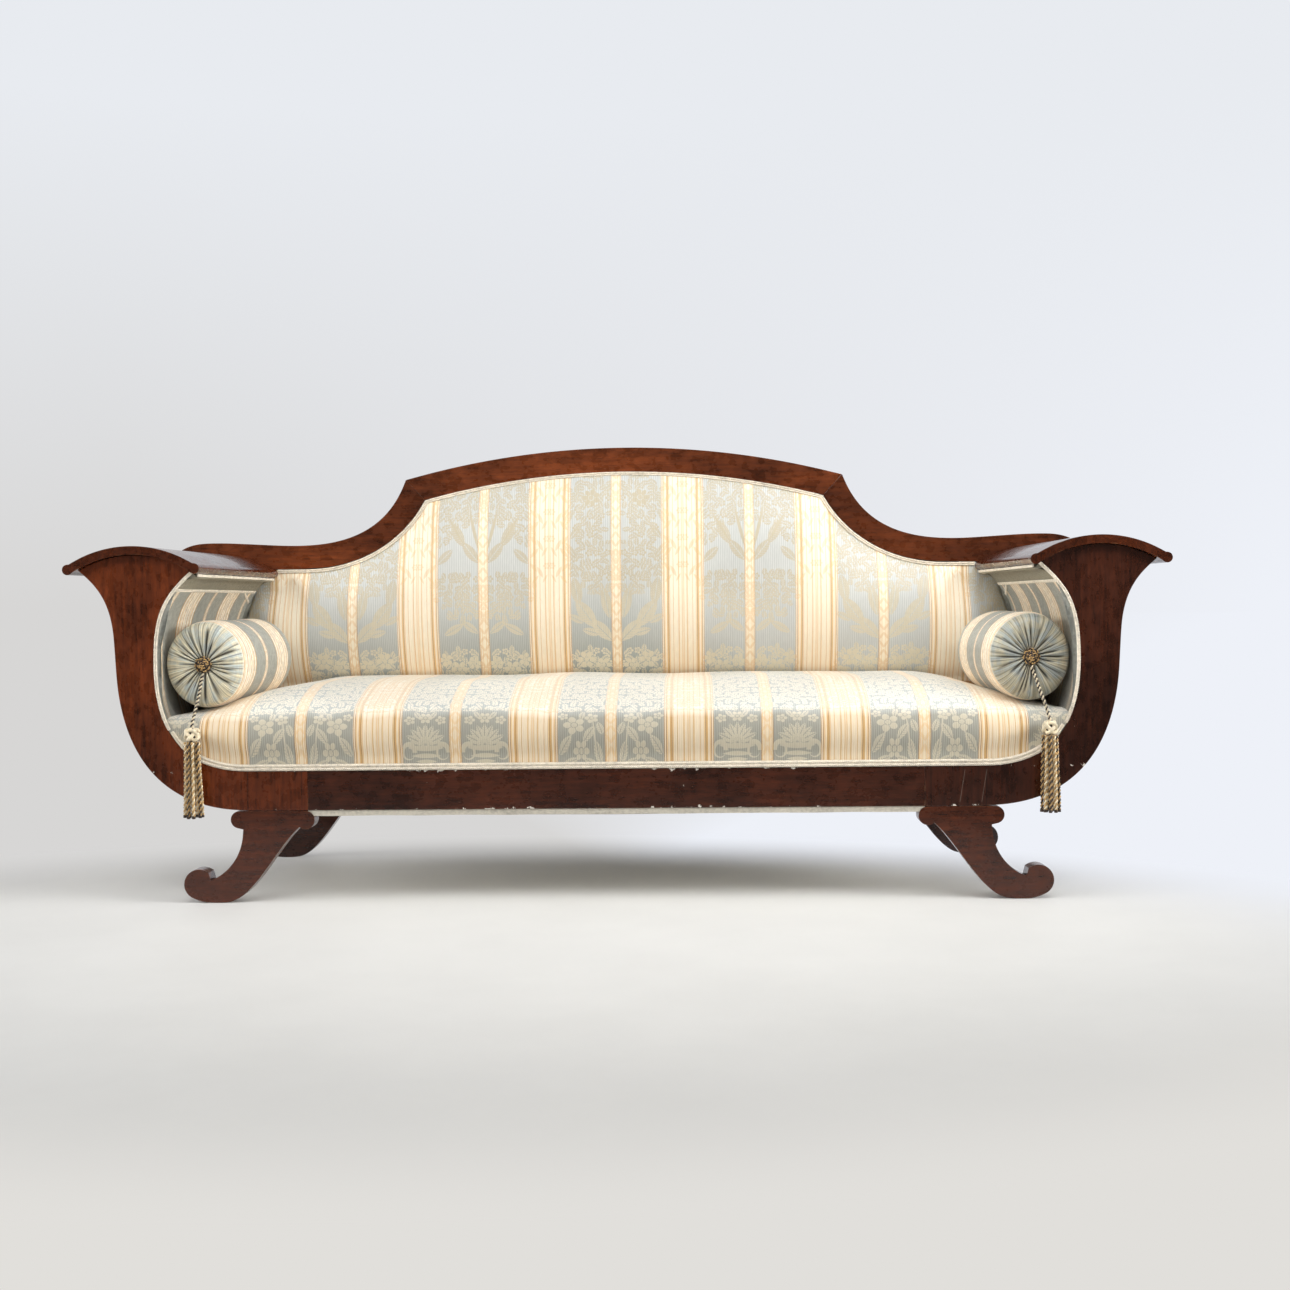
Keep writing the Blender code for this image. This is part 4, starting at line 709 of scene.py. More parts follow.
# Drawings of the damask. Places across are from the middle of the narrow stripe, and heights from the seat
# rail or from the floor.
SEAT_SPRAY = (
    ("flower", 76, 84, 23, 5),
    ("flower", 40, 104, 15, 5),
    ("flower", 62, 34, 17, 6),
    ("flower", 99, 108, 11, 5),
    ("leaf", 26, 30, 16, 40, 16),
    ("leaf", 45, 64, -34, 42, 17),
    ("leaf", 22, 76, 18, 34, 14),
    ("leaf", 95, 44, -40, 40, 16),
    ("leaf", 42, 14, 64, 34, 13),
    ("leaf", 84, 16, -70, 34, 13),
    ("leaf", 60, 112, -12, 28, 12),
    ("stem", 34, 62, 6, 120, 3),
    ("stem", 84, 56, -18, 60, 3),
)
SEAT_PALMETTE = (
    *fan(62, 44, 9, 88, 44, 13),
    ("curl", 27, 34, 12, 5),
    ("curl", 98, 34, 12, 5),
    ("stem", 62, 40, 90, 74, 8),
    ("stem", 62, 29, 90, 62, 8),
    ("stem", 62, 18, 90, 44, 8),
    ("flower", 62, 104, 15, 6),
    ("flower", 30, 98, 12, 5),
    ("flower", 95, 98, 12, 5),
    ("leaf", 46, 112, -30, 26, 11),
    ("leaf", 79, 112, 30, 26, 11),
)
# One length of the vine in the narrow stripes and of the garland in the broad ones
VINE_LENGTH = 42.0
STRIPE_VINE = (("stem", 5, 11, 34, 24, 6), ("stem", 5, 32, -34, 24, 6))
GARLAND_LENGTH = 66.0
STRIPE_GARLAND = (
    ("stem", 127, 20, 40, 30, 9),
    ("stem", 140, 38, -28, 32, 9),
    ("stem", 124, 50, -36, 26, 8),
    ("stem", 151, 22, 30, 28, 7),
    ("flower", 156, 54, 9, 6),
)
BACK_VASE = (
    ("flower", 34, 470, 19, 6),
    ("flower", 76, 484, 22, 6),
    ("flower", 100, 448, 16, 5),
    ("leaf", 36, 556, 44, 72, 30),
    ("leaf", 74, 596, 36, 84, 34),
    ("leaf", 97, 652, 10, 70, 27),
    ("leaf", 24, 622, 12, 78, 25),
    ("leaf", 62, 552, 74, 46, 18),
    ("leaf", 98, 584, 62, 42, 17),
    ("leaf", 98, 796, -38, 48, 15),
    ("leaf", 116, 830, -30, 50, 16),
    ("leaf", 112, 752, 40, 56, 16),
    ("flower", 60, 880, 22, 7),
)
BACK_VASE_BUSHES = (
    ("bush", 62, 455, 62, 62),
    ("bush", 46, 706, 56, 62),
    ("bush", 96, 712, 26, 30),
    ("bush", 62, 780, 44, 54),
    ("bush", 60, 880, 60, 62),
)
BACK_TREE = (
    ("flower", 28, 478, 17, 6),
    ("flower", 66, 462, 21, 6),
    ("flower", 98, 486, 17, 5),
    ("leaf", 30, 748, 38, 66, 24),
    ("leaf", 62, 792, 28, 66, 25),
    ("stem", 22, 800, 14, 110, 8),
    ("stem", 66, 800, 30, 90, 6),
    ("leaf", 94, 738, -46, 52, 20),
    ("leaf", 74, 560, -60, 56, 19),
    ("leaf", 34, 566, 52, 50, 18),
)
BACK_TREE_BUSHES = (
    ("bush", 60, 450, 60, 66),
    ("bush", 64, 655, 64, 46),
    ("bush", 98, 800, 24, 42),
    ("bush", 44, 604, 50, 26),
    ("bush", 60, 876, 64, 66),
)


def repeated(add, groups, fold, up, length, shapes):
    """Distance outside shapes that repeat along a stripe."""
    along = add("Math.FLOORED_MODULO", up, length)
    return drawn(add, groups, add("CombineXYZ", fold, along, 0.0), shapes)


LEAF_SPACING = 15.0
FLOWERED = 0.68  # chance above which a cell holds a flower and not a leaf


def foliage(add, groups, point, spacing):
    """Leaves and flowers, one to a cell, each turned its own way. Also gives the middle of the cell."""
    cells = add("TexVoronoi", point, sockets={"Scale": 1 / spacing, "Randomness": 0.75})
    cells.voronoi_dimensions = "2D"
    centre = cells.outputs["Position"]
    local = add("VectorMath.SUBTRACT", point, centre)
    chance = add("SeparateColor", cells.outputs["Color"])
    turn = add("MapRange", chance, 0.0, 1.0, -1.5, 1.5)
    sockets = {"Point": local, **shape_sizes("leaf", (0, 1.5 * spacing, 0.8 * spacing)), "Turn": turn}
    leaf = add("Group", node_tree=groups["leaf"], sockets=sockets)
    sockets = {"Point": local, **shape_sizes("flower", (0.62 * spacing, 5))}
    flower = add("Group", node_tree=groups["flower"], sockets=sockets)
    some = add("Math.GREATER_THAN", chance.outputs[1], FLOWERED)
    return add("Mix", some, None, leaf, flower), centre


def striped(add, across, repeat, stops):
    """Folds a distance across the cloth about its narrow stripe, and colours it. Stops are in millimetres
    from the stripe's middle, each with the colour that starts there."""
    half = repeat * 500
    fold = add("Math.PINGPONG", across, half)
    share = add("Math.DIVIDE", fold, half)
    ramp = add("ValToRGB", share)
    fill_ramp(ramp, [(position / half, colour) for position, colour in stops], "CONSTANT")
    return fold, ramp


NARROW_HALF = 12.8  # half of the damask's narrow stripe


def damask_stops(colours):
    """Lines of the damask's narrow and broad cream stripes."""
    cream, peach, gold, brown = colours.cream, colours.peach, colours.gold, colours.brown
    return (
        (0, cream), (3.5, peach), (5.5, cream), (8.5, gold), (9.8, cream), (11.3, brown),
        (NARROW_HALF, cream), (110.5, brown), (111.8, cream), (114.6, brown), (116, peach),
        (119, cream), (123, gold), (126.5, brown), (128, peach), (131, cream), (138, gold),
        (139.4, cream), (150, peach), (152, gold), (153.4, cream), (159, peach), (161.4, cream),
    )


def silk_stops(colours):
    """Lines of the silk's narrow and broad cream stripes, which are paler than the damask's."""
    cream, peach, gold, brown = linear("fbf3e2"), linear("f4e2c4"), linear("dcb273"), colours.brown
    return (
        (0, cream), (3, gold), (6, cream), (8.5, brown), (10.5, colours.silk), (82, brown),
        (84, gold), (88, cream), (97, gold), (101, peach), (110, cream), (117, gold), (121, cream),
        (128, peach),
    )


SLUB = (16.667, 1.1111)  # length and width in millimetres
HANDLING_MARK = 166.7


def woven(add, place, shaded, ribs):
    """Satin cloth: ribs, slubs along the threads, a soft sheen and faint handling marks."""
    slubs = add("TexNoise", grained(add, place, SLUB, X), None, 1.0, 2.0, 0.5)
    slub_tone = add("MapRange", slubs, 0.3, 0.7, 0.94, 1.04)
    marks = add("TexNoise", place, None, 1000 / HANDLING_MARK, 3.0, 0.5)
    mark_tone = add("MapRange", marks, 0.3, 0.7, 0.94, 1.02)
    tone = add("Math.MULTIPLY", slub_tone, mark_tone)
    shaded = add("VectorMath.SCALE", shaded, sockets={"Scale": tone})
    height = add("Math.MULTIPLY_ADD", slubs, 0.35, ribs)
    bump = add("Bump", 0.35, 0.0009, sockets={"Height": height})
    rough = add("MapRange", marks, 0.3, 0.7, 0.42, 0.54)
    sheen = {"Sheen Weight": 0.25, "Sheen Roughness": 0.35, "Sheen Tint": (1.0, 0.96, 0.88, 1.0)}
    sockets = {"Roughness": rough, "Normal": bump, **sheen}
    add("OutputMaterial", add("BsdfPrincipled", shaded, sockets=sockets))


def rib_wave(add, across, spacing):
    """Ribs as a wave from 0 to 1 across the cloth."""
    turn = add("Math.MULTIPLY", across, 2 * math.pi / (1000 * spacing))
    wave = add("Math.COSINE", turn)
    return add("Math.MULTIPLY_ADD", wave, 0.5, 0.5)


SEAT_STRIPE = -0.006  # middle of a narrow stripe of the seat
BACK_STRIPE = -0.0175
# Heights and lengths on the damask, in millimetres
FACE_TOP = 122.0  # where the seat's drawings end and its loose foliage starts
# Painted sheen: heights over which the damask takes its lit tones on the seat's top and the back's top
SEAT_SHEEN_HEIGHTS = (102.0, 136.0)
SEAT_SLACK = (62.5, 7.0)  # size of the waves in that edge, and how far they carry it
BACK_SHEEN_HEIGHTS = (420.0, 690.0)
BACK_SHEEN_LEAN = (360.0, 240.0)  # how much lower the painted sheen starts, per metre outwards and to the right
GARLAND_HEIGHTS = (560.0, 700.0)
GARLAND_GAP = 8.0  # more than any garland's half width, so that none shows low down
# Tones of the cream stripes, with painted sheen on the tops
CREAM_PAINTED_SHEEN = "fbf6ec"
SEAT_CREAM_SHEEN = 0.5
BACK_CREAM_SHEEN = 0.12
STRIPE_MOTIF = 0.40  # strength of the gold leaves woven into the stripes
FRONT_SHADE = (0.86, 0.81, 0.75)  # painted shade: the stripes are darker and warmer on the seat's front


def seat_figure(add, place, up, drawing, leaves, colours):
    """The drawings on the seat's front face and the foliage over its top: the distance outside them, how
    much painted sheen the ground and the leaves take, and their tones without it and with it."""
    slack = add("TexNoise", place, None, 1000 / SEAT_SLACK[0], 2.0, 0.5)
    uneven = add("MapRange", slack, 0.3, 0.7, -SEAT_SLACK[1], SEAT_SLACK[1])
    height = add("Math.ADD", up, uneven)
    top = add("Math.GREATER_THAN", height, FACE_TOP)
    outside = add("Mix", top, None, drawing, leaves)
    # Painted sheen on the seat's top, rising from its front face
    fade = add("MapRange", height, *SEAT_SHEEN_HEIGHTS)
    tones = (colours.seat_ground, colours.seat_ground_painted_sheen, colours.seat_leaf, colours.seat_leaf_painted_sheen)
    return outside, fade, fade, tones


def back_figure(add, x, up, drawing, leaves, clump, colours):
    """The drawings on the back, with foliage inside their clumps, in the same terms as the seat's."""
    inside = add("Math.MAXIMUM", clump, leaves)
    outside = add("Math.MINIMUM", drawing, inside)
    # Painted sheen: the ground takes it lower towards the ends and to the right, the leaves by height alone
    outward = add("Math.ABSOLUTE", x)
    lean = add("Math.MULTIPLY_ADD", outward, BACK_SHEEN_LEAN[0], up)
    lean = add("Math.MULTIPLY_ADD", x, BACK_SHEEN_LEAN[1], lean)
    fade = add("MapRange", lean, *BACK_SHEEN_HEIGHTS)
    leaf_sheen = add("MapRange", up, *BACK_SHEEN_HEIGHTS)
    tones = (colours.back_ground, colours.back_ground_painted_sheen, colours.back_leaf, colours.back_leaf_painted_sheen)
    return outside, fade, leaf_sheen, tones


def stripe_figure(add, groups, fold, up, outside, seat):
    """1 on the leaves in the cream stripes: a vine in the narrow ones, a garland high in the back's broad
    ones, and what reaches in from the bands."""
    trim = repeated(add, groups, fold, up, VINE_LENGTH, STRIPE_VINE)
    if not seat:
        garland = repeated(add, groups, fold, up, GARLAND_LENGTH, STRIPE_GARLAND)
        bare = add("MapRange", up, *GARLAND_HEIGHTS, GARLAND_GAP, 0.0)
        garland = add("Math.ADD", garland, bare)
        trim = add("Math.MINIMUM", trim, garland)
    trim = add("Math.MINIMUM", trim, outside)
    return add("MapRange", trim, 0.5, -0.5)


def striped_damask(name, stripe, first, second, bushes=()):
    """Satin-ground damask of silk and cotton: ribbed blue-grey bands between cream stripes, with flowers
    and leaves woven flat in a paler thread. Two drawings take turns from one narrow stripe to the next. The
    back's have bushes of foliage, and the seat's have none."""
    seat = not bushes
    groups = damask_shapes()
    sizes = bpy.context.scene.sofa_sizes
    colours = bpy.context.scene.sofa_colours
    material, add, place = new_material(name)
    x, y, z = add("SeparateXYZ", place).outputs
    shifted = add("Math.ADD", x, -stripe)
    across = add("Math.MULTIPLY", shifted, 1000.0)
    up = z
    if seat:
        up = add("Math.ADD", up, -RAIL_TOP)
        depth = add("Math.ADD", y, -FRONT_Y)
        up = add("Math.ADD", up, depth)
    up = add("Math.MULTIPLY", up, 1000.0)
    fold, ramp = striped(add, across, sizes.damask_repeat, damask_stops(colours))
    point = add("CombineXYZ", fold, up, 0.0)
    count = add("Math.MULTIPLY_ADD", across, 1 / (1000 * sizes.damask_repeat), 0.5)
    count = add("Math.FLOOR", count)
    turn = add("Math.FLOORED_MODULO", count, 2.0)
    leaves, centre = foliage(add, groups, point, LEAF_SPACING)
    drawings = [drawn(add, groups, point, shapes) for shapes in (first, second)]
    drawing = add("Mix", turn, None, *drawings)
    if seat:
        outside, fade, leaf_sheen, tones = seat_figure(add, place, up, drawing, leaves, colours)
    else:
        clump = add("Mix", turn, None, *[drawn(add, groups, centre, bush) for bush in bushes])
        outside, fade, leaf_sheen, tones = back_figure(add, x, up, drawing, leaves, clump, colours)
    motif = add("MapRange", outside, 0.5, -0.5)
    band_middle = (1000 * sizes.damask_band + NARROW_HALF) / 2
    band = add("Math.COMPARE", fold, band_middle, band_middle - NARROW_HALF)
    ribs = rib_wave(add, across, sizes.rib_spacing)
    groove = add("MapRange", ribs, 0.0, 0.7, 0.80, 1.0)
    # Painted sheen: the ground and the leaves turn to their lit tones as fade rises towards the tops
    ground = add("MixRGB", fade, *tones[:2])
    ground = add("VectorMath.SCALE", ground, sockets={"Scale": groove})
    leaf = add("MixRGB", leaf_sheen, *tones[2:])
    banded = add("MixRGB", motif, ground, leaf)
    # Painted shade: the cream stripes are darker and warmer on the seat's front face
    if seat:
        shaded_front = add("VectorMath.MULTIPLY", ramp, FRONT_SHADE)
        ramp = add("MixRGB", fade, shaded_front, ramp)
    # Painted sheen: the cream stripes turn paler as fade rises towards the tops
    pale = add("Math.MULTIPLY", fade, SEAT_CREAM_SHEEN if seat else BACK_CREAM_SHEEN)
    cream = add("MixRGB", pale, ramp, linear(CREAM_PAINTED_SHEEN))
    trim = stripe_figure(add, groups, fold, up, outside, seat)
    in_cream = add("Math.MULTIPLY", trim, STRIPE_MOTIF)
    cream = add("MixRGB", in_cream, cream, colours.gold)
    shaded = add("MixRGB", band, cream, banded)
    woven(add, place, shaded, ribs)
    return material


LOW_SHADE_HEIGHTS = (0.40, 0.52)  # painted shade: the arm silk is darker low down, beside the bolster
FOLD = "fold"  # attribute that holds how deep a point of a bolster lies in a gather
GATHER_EDGE = (0.026, 0.018)  # distances from a bolster's end between which its plain silk turns to gathers
END_LIGHT_TONES = (1.08, 0.70)  # painted light: gathered silk's tone half a metre to the left, and to the right
SPRAY = 11.765  # in millimetres, as is the stain
STAIN = 22.222


def gathered_silk(add, place, x, z, colours):
    """Silk of the bolsters' gathered ends: khaki and blue-grey streaks, with painted light and shade."""
    outward = add("Math.ABSOLUTE", x)
    outward = add("Math.ADD", outward, -BOLSTER_MIDDLE.x)
    upward = add("Math.ADD", z, -BOLSTER_MIDDLE.z)
    spoke = add("CombineXYZ", outward, 0.0, upward)
    spoke = add("VectorMath.NORMALIZE", spoke)
    streaks = add("TexNoise", spoke, None, 7.0, 3.0, 0.6)
    stain = add("TexNoise", place, None, 1000 / STAIN, 3.0, 0.6)
    blend = add("Math.ADD", streaks, stain)
    blend = add("MapRange", blend, 0.86, 1.08)
    gathered = add("MixRGB", blend, colours.gathered, colours.khaki)
    # Painted highlight and shade: fine radial streaks, paler on the gathers' ridges, darker in their
    # creases
    crumple_streaks = add("TexNoise", spoke, None, 22.0, 2.0, 0.6, sockets={"Distortion": 0.6})
    crumple_light_and_shade = add("MapRange", crumple_streaks, 0.38, 0.66, 1.35, 0.5)
    gathered = add("VectorMath.SCALE", gathered, sockets={"Scale": crumple_light_and_shade})
    # Painted light: the left bolster's gathered end is paler and the right one's darker
    end_light = add("MapRange", x, -0.5, 0.5, *END_LIGHT_TONES)
    return add("VectorMath.SCALE", gathered, sockets={"Scale": end_light})


def striped_silk(name, stripe, ends=None):
    """Plain striped silk, worn soft: ribbed blue-grey bands with close cream lines between them. ends are
    the two ends of a bolster along Y, where the cloth is gathered, with painted shade in its creases."""
    sizes = bpy.context.scene.sofa_sizes
    colours = bpy.context.scene.sofa_colours
    material, add, place = new_material(name)
    x, y, z = add("SeparateXYZ", place).outputs
    shifted = add("Math.ADD", y, -stripe)
    across = add("Math.MULTIPLY", shifted, 1000.0)
    ramp = striped(add, across, sizes.silk_repeat, silk_stops(colours))[1]
    ribs = rib_wave(add, across, sizes.rib_spacing)
    sprays = add("TexNoise", place, None, 1000 / SPRAY, 2.0, 0.5)
    figure = add("MapRange", sprays, 0.47, 0.55, 0.92, 1.1)
    groove = add("MapRange", ribs, 0.0, 0.7, 0.88, 1.0)
    groove = add("Math.MULTIPLY", groove, figure)
    shaded = add("VectorMath.SCALE", ramp, sockets={"Scale": groove})
    if ends:
        middle = (ends[0] + ends[1]) / 2
        half = (ends[1] - ends[0]) / 2
        offset = add("Math.ADD", y, -middle)
        reach = add("Math.ABSOLUTE", offset)
        end = add("MapRange", reach, half - GATHER_EDGE[0], half - GATHER_EDGE[1])
        shaded = add("MixRGB", end, shaded, gathered_silk(add, place, x, z, colours))
        # Painted shade: the silk darkens with the depth of the gathers' valleys
        fold_depth = add("Attribute", attribute_name=FOLD).outputs["Fac"]
        crease_shade = add("MapRange", fold_depth, 0.06, 0.55, 0.0, 0.9)
        shaded = add("MixRGB", crease_shade, shaded, linear("2f2a20"))
    else:
        # Painted shade: the arm silk darkens towards the seat, beside the bolster
        rubbed = add("MapRange", z, *LOW_SHADE_HEIGHTS, 0.4, 1.0)
        shaded = add("VectorMath.SCALE", shaded, sockets={"Scale": rubbed})
    woven(add, place, shaded, ribs)
    return material


# Lumps in the other materials, in millimetres
SILK_FIBRE = 1.1111
SILK_DYE = 11.111
CLOTH_SLUB = 7.1429
CLOTH_SOIL = 111.1
BEECH_GRAIN = (11.111, 111.1)
BEECH_FLECK = (1.4286, 11.111)
RUST_SPOT = 16.667
FLOOR_SCUFF = 333.3


def spun_silk(name, colour):
    """Spun silk yarn: fine strands along the ply, a soft sheen and slightly uneven dye."""
    material, add, place = new_material(name)
    fibres = add("TexNoise", place, None, 1000 / SILK_FIBRE, 2.0, 0.6)
    dye = add("TexNoise", place, None, 1000 / SILK_DYE, 2.0, 0.5)
    blend = add("Math.MULTIPLY_ADD", fibres, 0.6, dye)
    ramp = add("ValToRGB", blend)
    fill_ramp(ramp, ((0.50, tint(colour, 0.62)), (0.95, tint(colour, 1.2))))
    rough = add("MapRange", dye, 0.3, 0.7, 0.45, 0.65)
    bump = add("Bump", 0.3, 0.0004, sockets={"Height": fibres})
    sockets = {"Roughness": rough, "Normal": bump, "Sheen Weight": 0.3, "Sheen Roughness": 0.4}
    add("OutputMaterial", add("BsdfPrincipled", ramp, sockets=sockets))
    return material


def woven_cloth(name, colour, thread, rough):
    """Plain woven cloth, tape or braid: crossing threads, uneven tone and a dry surface. thread is the
    spacing of its threads, drawn coarse enough to show."""
    material, add, place = new_material(name)
    waves = []
    parts = add("SeparateXYZ", place).outputs
    for first, second in (("X", "Y"), ("Z", "Y")):
        line = add("Math.ADD", parts[first], parts[second])
        turn = add("Math.MULTIPLY", line, 2 * math.pi / thread)
        waves.append(add("Math.SINE", turn))
    weave = add("Math.MULTIPLY", *waves)
    slubs = add("TexNoise", place, None, 1000 / CLOTH_SLUB, 3.0, 0.6)
    soil = add("TexNoise", place, None, 1000 / CLOTH_SOIL, 3.0, 0.6)
    tone = add("Math.MULTIPLY_ADD", weave, 0.10, slubs)
    tone = add("Math.MULTIPLY_ADD", soil, 0.6, tone)
    ramp = add("ValToRGB", tone)
    fill_ramp(ramp, ((0.45, tint(colour, 0.66)), (0.80, colour), (1.0, tint(colour, 1.12))))
    dry = add("MapRange", soil, 0.3, 0.7, rough - 0.06, rough + 0.06)
    bump = add("Bump", 0.3, 0.0006, sockets={"Height": weave})
    shader = add("BsdfPrincipled", ramp, sockets={"Roughness": dry, "Normal": bump})
    add("OutputMaterial", shader)
    return material


def sawn_beech(name):
    """Sawn beech of the hidden frame: pale pinkish brown, straight grain, short dark flecks, no polish."""
    material, add, place = new_material(name)
    grain = add("TexNoise", grained(add, place, BEECH_GRAIN, X), None, 1.0, 4.0, 0.6)
    flecks = add("TexNoise", grained(add, place, BEECH_FLECK, X), None, 1.0, 1.0, 0.5)
    tone = add("Math.MULTIPLY_ADD", flecks, 0.4, grain)
    ramp = add("ValToRGB", tone)
    fill_ramp(ramp, ((0.45, linear("8d6542")), (0.70, linear("b98d5f")), (0.90, linear("cfa678"))))
    rough = add("MapRange", grain, 0.3, 0.7, 0.58, 0.72)
    bump = add("Bump", 0.25, 0.0008, sockets={"Height": tone})
    shader = add("BsdfPrincipled", ramp, sockets={"Roughness": rough, "Normal": bump})
    add("OutputMaterial", shader)
    return material


def drawn_steel(name):
    """Drawn spring wire: dull grey steel with a few rust-brown spots."""
    material, add, place = new_material(name)
    rust = add("TexNoise", place, None, 1000 / RUST_SPOT, 3.0, 0.6)
    spots = add("MapRange", rust, 0.56, 0.68)
    shaded = add("MixRGB", spots, linear("8f8f92"), linear("6b4a33"))
    metal = add("MapRange", spots, 0.0, 1.0, 1.0, 0.2)
    rough = add("MapRange", rust, 0.3, 0.7, 0.30, 0.55)
    bump = add("Bump", 0.2, 0.0003, sockets={"Height": rust})
    sockets = {"Metallic": metal, "Roughness": rough, "Normal": bump}
    add("OutputMaterial", add("BsdfPrincipled", shaded, sockets=sockets))
    return material


# Pieces


class SOFA_OT_stage(bpy.types.Operator):
    """Sets up the pale floor and backdrop, the soft lights and the camera"""

    bl_idname = "sofa.stage"
    bl_label = "Stage"

    CAMERA_PLACE = (0.159, -3.489, 0.623)
    CAMERA_LENS = 42.65
    SENSOR = 36.0
    YAW = 0.029
    PITCH = 0.028  # down
    ROLL = 0.011

    # Name, place, size, watts, point looked at, spread of the beam in degrees
    LAMPS = (
        ("key", (0.45, -0.95, 2.20), (3.4, 1.1), 29.0, (0.0, 0.10, 0.45), 180),
        ("front_left", (-3.6, -2.4, 2.2), (1.6, 1.6), 15.0, (-0.4, 0.0, 0.5), 180),
        ("side_right", (3.0, -1.1, 1.4), (1.4, 1.2), 11.0, (-0.9, 0.0, 0.55), 60),
        ("side_left", (-3.0, -0.7, 1.4), (1.4, 1.2), 8.5, (0.9, 0.0, 0.55), 60),
        ("back_right", (1.0, -2.0, 3.0), (0.9, 0.9), 1.6, (0.86, 0.20, 0.52), 28),
        ("back_left", (-1.0, -2.0, 3.0), (0.9, 0.9), 0.8, (-0.86, 0.20, 0.52), 28),
    )

    def camera(self):
        data = bpy.data.cameras.new("camera")
        data.lens = self.CAMERA_LENS
        data.sensor_width = self.SENSOR
        turn = Matrix.Rotation(self.YAW, 4, "Z")
        turn = turn @ Matrix.Rotation(math.pi / 2 - self.PITCH, 4, "X")
        turn = turn @ Matrix.Rotation(-self.ROLL, 4, "Z")
        item = bpy.data.objects.new("camera", data)
        item.matrix_world = Matrix.Translation(self.CAMERA_PLACE) @ turn
        bpy.context.scene.collection.objects.link(item)
        bpy.context.scene.camera = item

    def lamps(self):
        for name, place, size, watts, target, spread in self.LAMPS:
            data = bpy.data.lights.new(name, "AREA")
            data.shape = "RECTANGLE"
            data.size, data.size_y = size
            data.energy = watts
            data.spread = math.radians(spread)
            item = bpy.data.objects.new(name, data)
            item.location = place
            aim = Vector(target) - Vector(place)
            item.rotation_euler = aim.to_track_quat("-Z", "Y").to_euler()
            bpy.context.scene.collection.objects.link(item)

    AMBIENT = 0.38
    GROUND_SPAN = 0.35  # how far sideways in a direction the ground's colour changes
    GROUND_RISE = 0.30
    FLOOR_RADIUS = 60
    NEAR_SCALE = (0.4, 0.62, 0.0)  # the lit floor is an oval round the sofa, which fades into the ground
    NEAR_SHIFT = (0.12, 0.425, 0.0)
    NEAR_FADE = (0.49, 0.80)

    def backdrop(self, add, direction, colours):
        """The ground's colour in a direction: paler to the right, and dim in front for gloss, so that the
        polish stays dark. Also gives 1 for the rays that show it: from the camera, or by gloss or glass."""
        rays = add("LightPath").outputs
        x, y, z = add("SeparateXYZ", direction).outputs
        across = add("MapRange", x, -self.GROUND_SPAN, self.GROUND_SPAN)
        low = add("MixRGB", across, colours.ground_left, colours.ground_right)
        rise = add("MapRange", z, 0.0, self.GROUND_RISE)
        shade = add("MixRGB", rise, low, colours.ground_high)
        before = add("MapRange", y, -0.2, -0.8)
        shade = add("MixRGB", before, shade, colours.ground_near)
        behind = add("MapRange", y, -0.75, 0.0, 0.15, 1.0)
        dim = add("Mix", rays["Is Glossy Ray"], None, 1.0, behind)
        shade = add("VectorMath.SCALE", shade, sockets={"Scale": dim})
        shown = add("Math.MAXIMUM", rays["Is Camera Ray"], rays["Is Glossy Ray"])
        shown = add("Math.MAXIMUM", shown, rays["Is Transmission Ray"])
        return shade, shown

    def world(self, colours):
        world = bpy.data.worlds.new("studio")
        world.use_nodes = True
        bpy.context.scene.world = world
        world.node_tree.nodes.clear()
        add = partial(add_node, world.node_tree)
        shade, shown = self.backdrop(add, add("TexCoord").outputs["Generated"], colours)
        backdrop = add("Background", shade, 1.0)
        ambient = add("Background", linear("f3f4f6"), self.AMBIENT)
        add("OutputWorld", add("MixShader", shown, ambient, backdrop))

    def floor(self, colours):
        floor = start("circle", "floor", vertices=96, radius=self.FLOOR_RADIUS, fill_type="NGON")
        material, add, place = new_material("painted_floor")
        oval = add("VectorMath.MULTIPLY_ADD", place, self.NEAR_SCALE, self.NEAR_SHIFT)
        reach = add("VectorMath.LENGTH", oval).outputs["Value"]
        fade = add("MapRange", reach, *self.NEAR_FADE, interpolation_type="SMOOTHSTEP")
        scuffs = add("TexNoise", place, None, 1000 / FLOOR_SCUFF, 4.0, 0.6)
        tone = add("MapRange", scuffs, 0.3, 0.7, 0.97, 1.02)
        paint = add("VectorMath.SCALE", colours.floor[:3], sockets={"Scale": tone})
        near = add("BsdfPrincipled", paint, sockets={"Roughness": 0.6})
        direction = add("VectorMath.NORMALIZE", place)
        shade, shown = self.backdrop(add, direction, colours)
        far = add("Emission", shade, 1.0)
        distant = add("Math.MULTIPLY", fade, shown)
        add("OutputMaterial", add("MixShader", distant, near, far))
        floor.data.materials.append(material)

    def execute(self, context):
        colours = context.scene.sofa_colours
        self.camera()
        self.lamps()
        self.world(colours)
        self.floor(colours)
        context.scene.view_settings.view_transform = "Standard"
        return {"FINISHED"}


PLY_OVERLAP = 1.12  # plies press into each other


